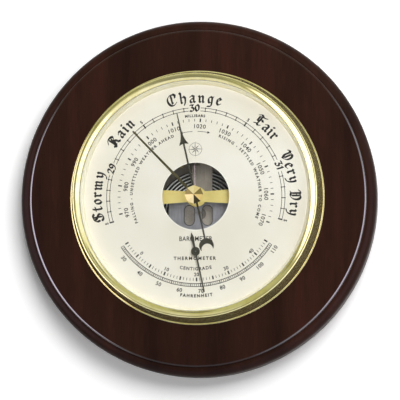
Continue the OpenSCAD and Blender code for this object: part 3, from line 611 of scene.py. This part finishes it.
def cut_plate(name, loops, low, high, body, material, edge, drop=None, turn=0.0):
    """A flat plate between two heights, its front edges broken over `edge` across and `drop` down.
    The first loop, counter-clockwise, is its outline and the others, clockwise, are its holes; the
    plate is turned by `turn` degrees."""
    loops = [np.asarray(loop, float) @ turning(turn) for loop in loops]
    rows, faces, start = [], [], 0
    count = sum(map(len, loops))
    top = [inset(loop, edge) for loop in loops]
    for level, (shape, h) in enumerate(((loops, low), (loops, high - (drop or edge)), (top, high))):
        flat = np.vstack(shape)
        rows.append(np.column_stack([flat, np.full(count, h)]))
        if level == 1:
            continue
        ends = np.cumsum([0, *map(len, shape)])
        rings = [list(range(*ends[i : i + 2]))[:: 1 if i == 0 else -1] for i in range(len(shape))]
        cap = delaunay_2d_cdt([Vector(q) for q in flat], [], rings, 1, 1e-6)
        for face, under in zip(cap[2], cap[5]):
            if list(under) == [0]:
                faces.append([level * count + i for i in (face if level == 2 else face[::-1])])
    for loop in loops:
        i = start + np.arange(len(loop))
        j = start + (np.arange(len(loop)) + 1) % len(loop)
        for level in (0, count):
            faces += np.stack([i + level, j + level, j + level + count, i + level + count], -1).tolist()
        start += len(loop)
    obj = piece(name, front(np.vstack(rows)), faces, body, material, 30)
    outward(obj)
    return obj


def mirrored(right):
    """A closed outline from its right half, listed from the foot up, and its mirror image."""
    right = np.asarray(right, float)
    return np.vstack([right, right[::-1] * [-1, 1]])


# Pressure hand: thin point, barbed head with hollow sides, shaft, hub and a crescent for a tail.
# The doubled point where its two halves meet in the crescent leaves the mesh open.
HAND_L, HAND_REST, HUB_R = 48.4, 12.6, 2.2
MOON_Y, MOON_R, BITE_Y, BITE_R = -28.9, 4.15, -31.1, 3.27
horn_y = (BITE_R**2 - MOON_R**2 + MOON_Y**2 - BITE_Y**2) / (2 * (MOON_Y - BITE_Y))
horn_x = math.sqrt(MOON_R**2 - (horn_y - MOON_Y) ** 2)
moon_horn, bite_horn = (math.degrees(math.atan2(horn_y - c, horn_x)) for c in (MOON_Y, BITE_Y))
shaft = math.degrees(math.asin(0.5 / MOON_R))
hub = math.degrees(math.asin(0.55 / HUB_R))
hand_line = mirrored(np.vstack([
    arc(0, BITE_Y, BITE_R, 90, bite_horn + 4, 16),
    arc(0, MOON_Y, MOON_R, moon_horn, 90 - shaft, 22),
    arc(0, 0, HUB_R, hub - 90, 90 - hub, 24),
    [[0.5, 30.2], [1.5, 30.0], [2.75, 29.55], [2.2, 30.75], [1.65, 31.7], [1.15, 33.0], [0.78, 34.5]],
    [[0.55, 36.2], [0.42, 38.0], [0.34, 42.0], [0.26, HAND_L - 0.2], [0.12, HAND_L]],
]))
HAND_LOW, HAND_HIGH = 28.6, 29.0
hand = cut_plate("black_pressure_hand", [hand_line], HAND_LOW, HAND_HIGH, "pointer_body",
                 HAND_LACQUER, 0.1, turn=HAND_REST)
hand.visible_shadow = False   # the soft light of the studio leaves no shadow of the hands
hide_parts("pressure_hand")

# Set hand: a brass strip with a ridge nearer to its left edge, on a round hub
SET_L, SET_REST, SET_H, FACET = 51.0, 43.9, 30.3, math.tan(math.radians(24))
SPINDLE_R, SET_HUB_R, SET_HUB_H = 1.2, 2.6, SET_H + 0.7
RIDGE_OFF = 0.55   # the ridge's place left of the middle, as a share of the half width
side_top = SET_H + 0.12
set_rows = []
for along, half in ((0, 0.85), (SET_L, 0.5)):
    ridge = side_top + (1 + RIDGE_OFF) * half * FACET
    set_rows += [(-half, along, SET_H), (half, along, SET_H), (half, along, side_top),
                 (-RIDGE_OFF * half, along, ridge), (-half, along, side_top)]
strip = np.array(set_rows)
strip[:, :2] = strip[:, :2] @ turning(SET_REST)
strip_faces = grid_faces(2, 5, False, True).tolist() + [[4, 3, 2, 1, 0], [5, 6, 7, 8, 9]]
set_strip = piece("ridged_set_hand", front(strip), strip_faces, "set_hand_body", SET_BRASS)
outward(set_strip)
set_hub_line = [(SPINDLE_R, SET_H), (SET_HUB_R, SET_H), (SET_HUB_R, SET_HUB_H - 0.1),
                (SET_HUB_R - 0.1, SET_HUB_H), (SPINDLE_R, SET_HUB_H)]
set_hub = turned("set_hand_hub", set_hub_line, "set_hand_body", HAND_BRASS, steps=96)
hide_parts("set_hand")
set_strip.visible_shadow = False

# Mainspring leaf with its two long slots, which end in half circles
LEAF_LOW, LEAF_HIGH, LEAF_HALF, LEAF_FOOT, LEAF_HEAD = 16.6, 17.4, 17.5, -24.93, -1
SLOTS_X, SLOT_FOOT, SLOT_HEAD, SLOT_HALF, POST_HOLE_R = (-4.5, 5.7), -15.7, -4.5, 2.9, 1.2


def long_slot(x, low, high, half):
    """A slot's outline, clockwise: two straight sides and two half circles."""
    return np.vstack([arc(x, high - half, half, 180, 0, 14), arc(x, low + half, half, 0, -180, 14)])


left_x, right_x = CAPSULE[0] - LEAF_HALF, CAPSULE[0] + LEAF_HALF
leaf_outline = [(left_x, LEAF_FOOT), (right_x, LEAF_FOOT), (right_x, LEAF_HEAD), (left_x, LEAF_HEAD)]
leaf_slots = [long_slot(x, SLOT_FOOT, SLOT_HEAD, SLOT_HALF) for x in SLOTS_X]
post_hole = arc(*CAPSULE, POST_HOLE_R, 345, 0, 24)
leaf = cut_plate("slotted_spring_leaf", [leaf_outline, *leaf_slots, post_hole], LEAF_LOW, LEAF_HIGH,
                 "lever_body", SPRING_STEEL, 0.15, 0.14)
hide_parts("mainspring_leaf")
for side, x in zip(("left", "right"), SLOTS_X):   # a dark rim round each punched slot: painted shade for the shadow and dark reflection in the slots' walls
    rim_loops = [long_slot(x, -16.0, -4.2, 3.13)[::-1], long_slot(x, -15.65, -4.55, 2.82)]
    slot_shade_rim = cut_plate(f"slot_painted_shade_{side}", rim_loops, LEAF_HIGH - 0.12, LEAF_HIGH + 0.03,
                          "lever_body", BLACK, 0.02)

# Chain: small long links, each turned a quarter from the last, on the ring at its upper end
LINK_LONG, LINK_HALF, WIRE, LINK_STEP = 0.42, 0.2, 0.13, 1.0
CHAIN_X, CHAIN_H, CHAIN_START, CHAIN_END = -1.22, 20.0, 0.6, 20.4
ROUND_LINK, ROUND_WIRE = 20, 8
bend, skin_turn = np.meshgrid(np.linspace(0, TAU, ROUND_LINK, endpoint=False),
                              np.linspace(0, TAU, ROUND_WIRE, endpoint=False), indexing="ij")
ring_r = LINK_HALF + WIRE * np.cos(skin_turn)
across = ring_r * np.cos(bend)
stretch = np.sign(np.sin(bend)) * (np.abs(np.sin(bend)) > 1e-6)
along = ring_r * np.sin(bend) + LINK_LONG * stretch
thick = WIRE * np.sin(skin_turn)
links, link_faces = [], []
for k, y in enumerate(np.arange(CHAIN_START, CHAIN_END, LINK_STEP)):
    sides = (across, thick) if k % 2 else (thick, -across)
    link_faces += (grid_faces(ROUND_LINK, ROUND_WIRE, True, True) + bend.size * k).tolist()
    links.append(np.stack([CHAIN_X + sides[0], y + along, CHAIN_H + sides[1]], -1).reshape(-1, 3))
chain = piece("link_chain", front(np.vstack(links)), link_faces, "chain_body", CHAIN_STEEL, 60)
outward(chain)
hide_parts("chain")

# Pale line of thicker paint round the dial's opening
lip_line = [(APERTURE_R, DIAL_H - 0.02), (APERTURE_R + 0.55, DIAL_H - 0.02),
            (APERTURE_R + 0.5, DIAL_H + 0.03), (APERTURE_R + 0.05, DIAL_H + 0.03)]
lip = turned("aperture_edge", lip_line, "case_body", PALE_EDGE)


# Dial printing: flat ink patches in dial millimetres, gathered as (points, faces)
def arc_line(r, start, end, width):
    """A printed arc: a ribbon of `width` centred on radius r between two angles in degrees."""
    a = np.linspace(start, end, max(2, int(abs(end - start) / 1.5) + 2))
    points = np.concatenate([polar(r - width / 2, a), polar(r + width / 2, a)])
    n = len(a)
    i = np.arange(n - 1)
    faces = np.stack([i, n + i, n + i + 1, i + 1], -1)
    return points, (faces if end > start else faces[:, ::-1]).tolist()


def ticks(angles, low, high, width):
    """Printed strokes of `width` from radius `low` to `high`, one at each angle in degrees."""
    a = np.atleast_1d(np.asarray(angles, float))
    along, across = polar(1, a), polar(1, a + 90) * width / 2
    corners = (low * along - across, high * along - across, high * along + across, low * along + across)
    return np.stack(corners, 1).reshape(-1, 2), np.arange(4 * len(a)).reshape(-1, 4).tolist()


def plain_text(words, height, spacing=1.0, weight=0.0):
    """Upright sans lettering with capitals `height` mm tall, centred on x = 0 with its foot on y = 0;
    weight thickens (or thins) its strokes by that share of the height."""
    curve = bpy.data.curves.new("words", "FONT")
    curve.body, curve.size, curve.space_character = words, 1.0, spacing
    curve.resolution_u, curve.fill_mode, curve.offset = 3, "FRONT", weight * 0.7
    holder = placed("words", curve)
    shape = holder.evaluated_get(bpy.context.evaluated_depsgraph_get()).to_mesh()
    points = np.array([v.co[:2] for v in shape.vertices])
    faces = [list(p.vertices) for p in shape.polygons]
    bpy.data.objects.remove(holder)
    low, high = points.min(0), points.max(0)
    return (points - [(low[0] + high[0]) / 2, low[1]]) * height / (high[1] - low[1]), faces


def on_arc(text, r, middle, tops_out=True):
    """Lettering bent round the dial: x becomes an angle about `middle` at radius r, and y a step
    along the radius."""
    points, faces = text
    turn, rise = (-1, 1) if tops_out else (1, -1)
    a = np.radians(middle) + turn * points[:, 0] / r
    reach = r + rise * points[:, 1]
    return np.stack([reach * np.cos(a), reach * np.sin(a)], -1), faces


def narrowed(text, share):
    """Lettering of condensed width: `share` of the plain one."""
    return text[0] * [share, 1], text[1]


def set_at(text, x, y):
    """Lettering moved level to (x, y), its middle and foot."""
    return text[0] + [x, y], text[1]


# The broad pen's nib, in parts of the small letters' height
NIB_WIDTH, NIB_EDGE, NIB_ANGLE = 0.30, 0.095, 40


def bow(points):
    """A smooth pen stroke through the points (Catmull-Rom)."""
    p = np.array([points[0], *points, points[-1]], float)
    t = np.linspace(0, 1, 7)[:-1, None]
    out = []
    for a, b, c, d in zip(p, p[1:], p[2:], p[3:]):
        bend_2, bend_3 = 2 * a - 5 * b + 4 * c - d, 3 * b - a - 3 * c + d
        out.extend(0.5 * (2 * b + (c - a) * t + bend_2 * t**2 + bend_3 * t**3))
    return [*map(tuple, out), points[-1]]


def minim(x):
    """The upright stroke of the broad pen, with a lozenge at its head and its foot."""
    return [(x - 7, 93), (x + 5, 80), (x + 5, 20), (x + 17, 7)]


def pen_letter(strokes):
    """One broad-nib letter: the nib, a thin slanted oval, is swept along each stroke as the hull of
    its place at both ends of every step, and the hulls are united into one flat patch. A tuple of
    points is a smooth stroke and a list is a straight one."""
    a = np.linspace(0, TAU, 10, endpoint=False)
    along, across = turning(NIB_ANGLE)
    nib = np.cos(a)[:, None] * along * NIB_WIDTH / 2 + np.sin(a)[:, None] * across * NIB_EDGE / 2
    points, loops = [], []
    for stroke in strokes:
        way = [(x / 100, y / 100) for x, y in stroke]
        if isinstance(stroke, tuple):
            way = bow(way)
        for p, q in zip(way, way[1:]):
            both = np.vstack([nib + p, nib + q])
            hull = convex_hull_2d(both.tolist())
            loops.append([len(points) + k for k in range(len(hull))])
            points.extend(both[k].tolist() for k in hull)
    flat = delaunay_2d_cdt([Vector(p) for p in points], [], loops, 1, 1e-5)
    inked = [list(face) for face, under in zip(flat[2], flat[5]) if under]
    return np.array([v[:] for v in flat[0]]), inked


PEN = {   # letter: (width, strokes), in hundredths of the small letters' height
    "a": (75, [((8, 80), (28, 97), (52, 84)), [(52, 88), (52, 20), (68, 7)],
          ((50, 56), (22, 52), (8, 28), (22, 5), (50, 24))]),
    "e": (64, [((34, 95), (12, 70), (12, 26), (32, 3), (58, 20)), [(32, 96), (54, 74), (16, 48)]]),
    "g": (76, [((32, 95), (12, 70), (12, 32), (28, 10), (52, 28)), [(32, 95), (56, 80)],
          ((64, 94), (54, 70), (56, 10), (46, -32), (4, -36))]),
    "h": (90, [[(4, 148), (16, 134), (16, 20), (26, 7)], [(22, 72), (48, 95)],
          ((48, 93), (68, 74), (68, 30), (62, 6), (52, -20))]),
    "i": (42, [minim(12), [(10, 134), (18, 125)]]),
    "m": (128, [minim(12), [(22, 70), (46, 94)], minim(53), [(62, 70), (86, 94)], minim(94)]),
    "n": (86, [minim(12), [(22, 70), (46, 94)], minim(54)]),
    "o": (68, [((34, 96), (12, 72), (12, 28), (34, 3)), ((34, 96), (56, 72), (56, 28), (34, 3))]),
    "r": (62, [minim(12), [(22, 72), (40, 96), (54, 80)]]),
    "t": (52, [((22, 124), (18, 90), (18, 26), (30, 5), (48, 16)), [(0, 86), (44, 92)]]),
    "y": (76, [[(4, 94), (16, 80), (16, 36), (32, 16), (54, 34)],
          ((52, 95), (62, 76), (60, 16), (40, -26), (6, -38))]),
    "C": (126, [((78, 142), (44, 138), (12, 102), (12, 48), (42, 5), (84, 6), (112, 30)),
          [(54, 120), (60, 110), (60, 40), (68, 28)], ((60, 130), (84, 150), (112, 124)),
          [(106, 126), (106, 100)]]),
    "D": (124, [((0, 116), (20, 140), (50, 130), (82, 142), (110, 108), (106, 46), (70, 6), (30, 14)),
          [(34, 128), (34, 30), (12, 6)], [(64, 124), (64, 26)], [(34, 78), (60, 92)]]),
    "F": (114, [((2, 124), (28, 146), (62, 130), (104, 144)), [(20, 116), (20, 62), (30, 52)],
          ((46, 130), (46, 60), (36, 20), (2, 4)), [(50, 84), (66, 92), (88, 76)],
          ((36, 22), (60, 2), (84, 20))]),
    "R": (134, [((-4, 110), (24, 140), (68, 142), (96, 114), (66, 80)), [(38, 126), (38, 34), (52, 16)],
          [(8, 28), (36, 0), (58, 18)], [(64, 82), (92, 50), (96, 24), (122, 6)], [(62, 120), (58, 36)]]),
    "S": (108, [
          ((98, 122), (66, 142), (30, 124), (38, 94), (76, 70), (92, 40), (66, 8), (24, 6), (2, 30)),
          [(56, 130), (56, 22)], ((10, 56), (2, 96), (28, 134))]),
    "V": (120, [((2, 118), (18, 140), (34, 116), (32, 50), (58, 6)),
          ((42, 130), (76, 142), (102, 106), (98, 48), (58, 6)), [(64, 126), (64, 34)]]),
    "0": (66, [((34, 96), (12, 72), (12, 26), (34, 2)), ((34, 96), (56, 72), (56, 26), (34, 2))]),
    "1": (46, [[(8, 78), (26, 94), (26, 4)]]),
    "2": (62, [((8, 72), (18, 92), (42, 94), (52, 70), (30, 34), (8, 8)), [(8, 10), (34, 10), (58, 4)]]),
    "3": (62, [[(8, 92), (50, 94), (26, 60)], ((28, 58), (54, 42), (50, 12), (24, 0), (6, 12))]),
    "9": (64, [((52, 56), (30, 40), (10, 60), (14, 88), (34, 96), (54, 76), (52, 40), (38, 8), (10, 0))]),
    " ": (45, []),
}


def pen_word(word, height, gap):
    """A word in broad-pen letters, its small letters `height` mm tall and `gap` mm apart, centred on
    x = 0."""
    points, faces, x = [], [], 0.0
    for letter in word:
        width, strokes = PEN[letter]
        if strokes:
            flat, own = pen_letter(strokes)
            faces += [[i + sum(map(len, points)) for i in f] for f in own]
            points.append(flat * height + [x, 0])
        x += width / 100 * height + gap
    return np.vstack(points) - [(x - gap) / 2, 0], faces


def ink_piece(name, patches, shift=(0, 0)):
    """Joins flat patches, moved by `shift`, into one print: a film of ink that stands a hair proud
    of the dial."""
    points, faces = [], []
    for own_points, own_faces in patches:
        k = sum(map(len, points))
        points.append(own_points)
        faces += [[i + k for i in face] for face in own_faces]
    flat = np.vstack(points) + shift
    for i, f in enumerate(faces):
        x, y = flat[f].T
        if x @ np.roll(y, -1) <= y @ np.roll(x, -1):   # clockwise: turned to face the viewer
            faces[i] = f[::-1]
    verts = front(np.column_stack([flat, np.full(len(flat), INK_H)]))
    obj = piece(name, verts, faces, "case_body", INK)
    film = obj.modifiers.new("film", "SOLIDIFY")
    film.thickness, film.offset = INK_FILM, -1


# Pressure scale: inches of mercury on the band, millibars inside it
INCH_TOP, INCH_STEP = 90.6, 70.6
MBAR_1020, MBAR_STEP = 86.4, 2.122
BAND_IN, BAND_OUT, BAND_LINE = 48.75, 50.5, 0.3
NUMERAL_CLEAR, NUMERAL_R, WORD_R = 3.9, 48.5, 53.3
MBAR_IN, MBAR_OUT, MBAR_FIGURE_R = 42.7, 44.2, 38.8
PRINT_SHIFT = (-0.1, -0.35)   # the upper printing sits a little low on the plate


def inch_angle(v):
    """Angle of a pressure in inches."""
    return INCH_TOP - (v - 30) * INCH_STEP


def mbar_angle(v):
    """Angle of a pressure in millibars."""
    return MBAR_1020 - (v - 1020) * MBAR_STEP


scale = []
# the band breaks off on both sides of the figures 29, 30 and 31
edges = [inch_angle(28.5)]
edges += [inch_angle(v) + s * NUMERAL_CLEAR for v in (29, 30, 31) for s in (1, -1)]
edges.append(inch_angle(31.5))
for start, end in zip(edges[::2], edges[1::2]):
    scale += [arc_line(r, end, start, BAND_LINE) for r in (BAND_IN, BAND_OUT)]
# a light line at each tenth of an inch, with a dot on both lines of the band, but none at a half
tenths = [inch_angle(28.5 + 0.1 * k) for k in range(31) if k % 5]
scale.append(ticks(tenths, BAND_IN, BAND_OUT, 0.36))
for r in (BAND_IN, BAND_OUT):
    scale.append(ticks(tenths, r - 0.35, r + 0.35, 0.6))
halves = [inch_angle(v) for v in (28.5, 29.5, 30.5, 31.5)]
scale.append(ticks(halves, BAND_IN - 0.5, BAND_OUT + 0.3, 0.75))
scale += [on_arc(plain_text("5", 1.9, weight=0.05), BAND_OUT + 1.0, a) for a in halves]
MBAR_TENS = range(970, 1071, 10)
scale.append(ticks([mbar_angle(v) for v in range(970, 1071, 2) if v % 10], MBAR_IN, MBAR_OUT, 0.32))
scale.append(ticks([mbar_angle(v) for v in MBAR_TENS], MBAR_IN - 0.3, MBAR_OUT + 0.2, 0.75))
scale += [on_arc(plain_text(str(v), 2.4, 1.1, 0.02), MBAR_FIGURE_R, mbar_angle(v)) for v in MBAR_TENS]
scale.append(on_arc(plain_text("MILLIBARS", 1.6, 1.25, 0.06), 45.2, INCH_TOP - 0.3))
ink_piece("pressure_scale_print", scale, PRINT_SHIFT)

words = [on_arc(pen_word(str(v), 3.9, 0.35), NUMERAL_R, inch_angle(v)) for v in (29, 30, 31)]
WEATHER = (("Stormy", 179.4, 1.15), ("Rain", 139, 1.0), ("Change", 90.7, 1.5), ("Fair", 43.8, 0.7),
           ("Very Dry", 7.4, 1.15))   # word, angle of its middle, gap between its letters
for word, middle, gap in WEATHER:
    words.append(on_arc(pen_word(word, 4.3, gap), WORD_R, middle))
ink_piece("weather_words_print", words, PRINT_SHIFT)

# Thermometer scale, concentric with the dial: Fahrenheit on the band, centigrade inside it
CELSIUS_20, CELSIUS_STEP = 270.6, 2.26
HEAT_IN, HEAT_OUT, CELSIUS_IN, CELSIUS_OUT = 49.4, 51.1, 46.2, 47.8


def celsius_angle(c):
    """Angle of a temperature in degrees centigrade."""
    return CELSIUS_20 + (c - 20) * CELSIUS_STEP


def fahrenheit_angle(f):
    """Angle of a temperature in degrees Fahrenheit."""
    return celsius_angle((f - 32) / 1.8)


heat = [arc_line(r, celsius_angle(-5), celsius_angle(45), 0.34) for r in (HEAT_IN, HEAT_OUT)]
heat.append(ticks([fahrenheit_angle(f) for f in range(23, 114) if f % 5], HEAT_IN, HEAT_OUT, 0.3))
heat.append(ticks([fahrenheit_angle(f) for f in range(25, 111, 5)], HEAT_IN - 0.2, HEAT_OUT + 0.2, 0.5))
heat.append(ticks([celsius_angle(c) for c in range(-5, 46) if c % 5], CELSIUS_IN, CELSIUS_OUT, 0.28))
fives = [celsius_angle(c) for c in range(-5, 46, 5)]
heat.append(ticks(fives, CELSIUS_IN - 0.2, CELSIUS_OUT + 0.3, 0.8))
# the centigrade figures stand a little closer than their marks, the Fahrenheit ones a little wider
for figures, tall, reach, pitch, angle_of in ((range(0, 41, 10), 2.1, 45.3, 0.98, celsius_angle),
                                              (range(30, 111, 10), 2.3, 54.8, 1.045, fahrenheit_angle)):
    for v in figures:
        at = CELSIUS_20 + (angle_of(v) - CELSIUS_20) * pitch
        heat.append(on_arc(plain_text(str(v), tall, 1.08, 0.03), reach, at, False))
heat.append(on_arc(plain_text("CENTIGRADE", 1.9, 1.28, 0.04), 42.0, 270, False))
heat.append(on_arc(plain_text("FAHRENHEIT", 1.85, 1.42, 0.06), 57.2, 270.4, False))
heat.append(set_at(plain_text("THERMOMETER", 2.0, 1.43, 0.05), -0.5, -36.1))
heat.append(set_at(narrowed(plain_text("BAROMETER", 2.7, 1.1, 0.02), 0.84), 0.1, -25.4))
ink_piece("thermometer_scale_print", heat)

# Falling and rising: two short arrows at the top and a line of small capitals down each side
ARROW_R = 36.7
PHRASES = (1, "FALLING - UNSETTLED WEATHER AHEAD"), (-1, "RISING - SETTLED WEATHER TO COME")
trend = []
for side, phrase in PHRASES:
    start, end = INCH_TOP + side * 2.2, INCH_TOP + side * 11
    trend.append(arc_line(ARROW_R, *sorted((start, end)), 0.25))
    tip = polar(ARROW_R, end + side * 2.4)
    base = polar(ARROW_R, end)
    wide = polar(0.75, end)
    trend.append((np.array([tip, base + wide, base - wide]), [[0, 1, 2]]))
    trend.append(on_arc(plain_text(phrase, 1.7, 1.5, 0.05), 35.7, INCH_TOP + side * 66.5))
ink_piece("trend_print", trend)

# A small eight-pointed compass star above the centre: only one half of each point is inked
STAR = (-0.2, 26.6)
star = []
for k in range(8):
    reach, waist = (4.6, 1.05) if k % 2 == 0 else (3.0, 1.3)
    tip, left = polar(reach, 45 * k), polar(waist, 45 * k + 22.5)
    star.append((np.array([(0, 0), tip, left]) + STAR, [[0, 1, 2]]))
ring_points, ring_faces = arc_line(3.6, 0, 360, 0.16)
star.append((ring_points + STAR, ring_faces))
ink_piece("compass_star_print", star)


# Light
world = bpy.data.worlds.new("studio")
bpy.context.scene.world = world
world.use_nodes = True
wt = world.node_tree
wt.nodes.clear()
path = add(wt, "LightPath").outputs
straight = add(wt, "TexCoord").outputs["Generated"]
ray = add(wt, "VectorMath", {0: straight}, operation="NORMALIZE").outputs["Vector"]
WHITE = (1, 1, 1, 1)


def grey(light):
    """A brightness as a colour."""
    return (light, light, light, 1)


def room(below, around, forward, half, fade, colour):
    """Puts `colour` into a round patch of the room round the object: `half` degrees in radius with
    an edge `fade` degrees wide, in the direction `around` degrees from 3 o'clock and `forward`
    degrees out from the wall."""
    a, f = math.radians(around), math.radians(forward)
    way = (math.cos(f) * math.cos(a), -math.sin(f), math.cos(f) * math.sin(a))
    near = add(wt, "VectorMath", {0: ray, 1: way}, operation="DOT_PRODUCT").outputs["Value"]
    edge_out, edge_in = math.cos(math.radians(half + fade / 2)), math.cos(math.radians(half - fade / 2))
    return mixed(wt, spread(wt, near, 0.0, 1.0, edge_out, edge_in), below, colour)


# What the metal and the glass mirror: a dim olive room with softboxes (bright) and gaps (dark),
# as (around, forward, half, fade, colour), later ones over earlier ones
ROOM = (0.34, 0.34, 0.20, 1)
PATCHES = (
    (-95, 8, 36, 8, (1.0, 1.0, 1.25, 1)), (-95, 56, 14, 6, grey(0.14)),
    (92, 20, 40, 10, (0.45, 0.46, 0.28, 1)), (95, 20, 10, 4, grey(0.1)),
    (-45, 28, 28, 16, (1.2, 1.2, 1.5, 1)), (16, 30, 30, 12, (1.2, 1.22, 1.45, 1)),
    (-14, 36, 24, 6, (2.6, 2.4, 3.0, 1)), (188, 38, 31, 5, (2.9, 2.6, 3.2, 1)),
    (144, 28, 6, 3, grey(0.10)), (46, 43, 8, 4, grey(0.08)), (90, 58, 16, 6, grey(0.6)),
    (0, 87, 18, 14, grey(0.16)),
)
bright = ROOM
for patch in PATCHES:
    bright = room(bright, *patch)
depth = add(wt, "SeparateXYZ", {"Vector": ray}).outputs["Y"]
behind = spread(wt, depth, 0.0, 1.0, -0.05, 0.02)
shiny = mixed(wt, behind, bright, WHITE)
FILL = grey(0.13)   # the light that matt surfaces get from all round
seen = mixed(wt, path["Is Glossy Ray"], FILL, shiny)
shown = mixed(wt, path["Is Camera Ray"], seen, WHITE)
bg = add(wt, "Background", {"Color": shown, "Strength": 1.0})
wo = add(wt, "OutputWorld")
wt.links.new(bg.outputs["Background"], wo.inputs["Surface"])


def lamp(name, at, aim, size, watts):
    """A softbox: a square lamp of `size` metres that faces `aim`."""
    data = bpy.data.lights.new(name, "AREA")
    data.shape = "RECTANGLE"
    data.size, data.size_y, data.energy = size, size, watts
    obj = placed(name, data)
    way = Vector(aim) - Vector(at)
    obj.rotation_euler = way.to_track_quat("-Z", "Y").to_euler()
    obj.location = at
    obj.visible_glossy = False
    obj.visible_transmission = False


BENCH_AIM = (0, -0.02, 0)
lamp("key_softbox", (0.38, -1.0, 0.66), BENCH_AIM, 0.95, 17.0)
lamp("front_softbox", (0.5, -1.3, -0.8), BENCH_AIM, 1.3, 8.0)

# Wall: off-white paint with roller grain of 4.5 mm, pure white to the camera where it's fully lit
WALL_HALF, WALL_Y, OVERLIT = 3, 0.0006, 1.18
wall_paint, wt2 = blank("pale_wall_paint")
seen_by = add(wt2, "LightPath").outputs["Is Camera Ray"]
grain = add(wt2, "TexNoise", {"Vector": add(wt2, "TexCoord").outputs["Object"], "Scale": 220.0})
chalk = ramp(wt2, grain.outputs["Fac"], (0.3, "#f0f0ef"), (0.7, "#f5f5f4"))
paint = mixed(wt2, seen_by, chalk, grey(OVERLIT))
matt_wall = add(wt2, "BsdfDiffuse", {"Color": paint})
out = add(wt2, "OutputMaterial")
wt2.links.new(matt_wall.outputs["BSDF"], out.inputs["Surface"])
wall_mesh = bpy.data.meshes.new("wall")
corners = [(x * WALL_HALF, WALL_Y, z * WALL_HALF) for x, z in ((-1, -1), (1, -1), (1, 1), (-1, 1))]
wall_mesh.from_pydata(corners, [], [[0, 1, 2, 3]])
wall_mesh.materials.append(wall_paint)
wall = placed("wall", wall_mesh)

bpy.context.scene.view_settings.view_transform = "Standard"
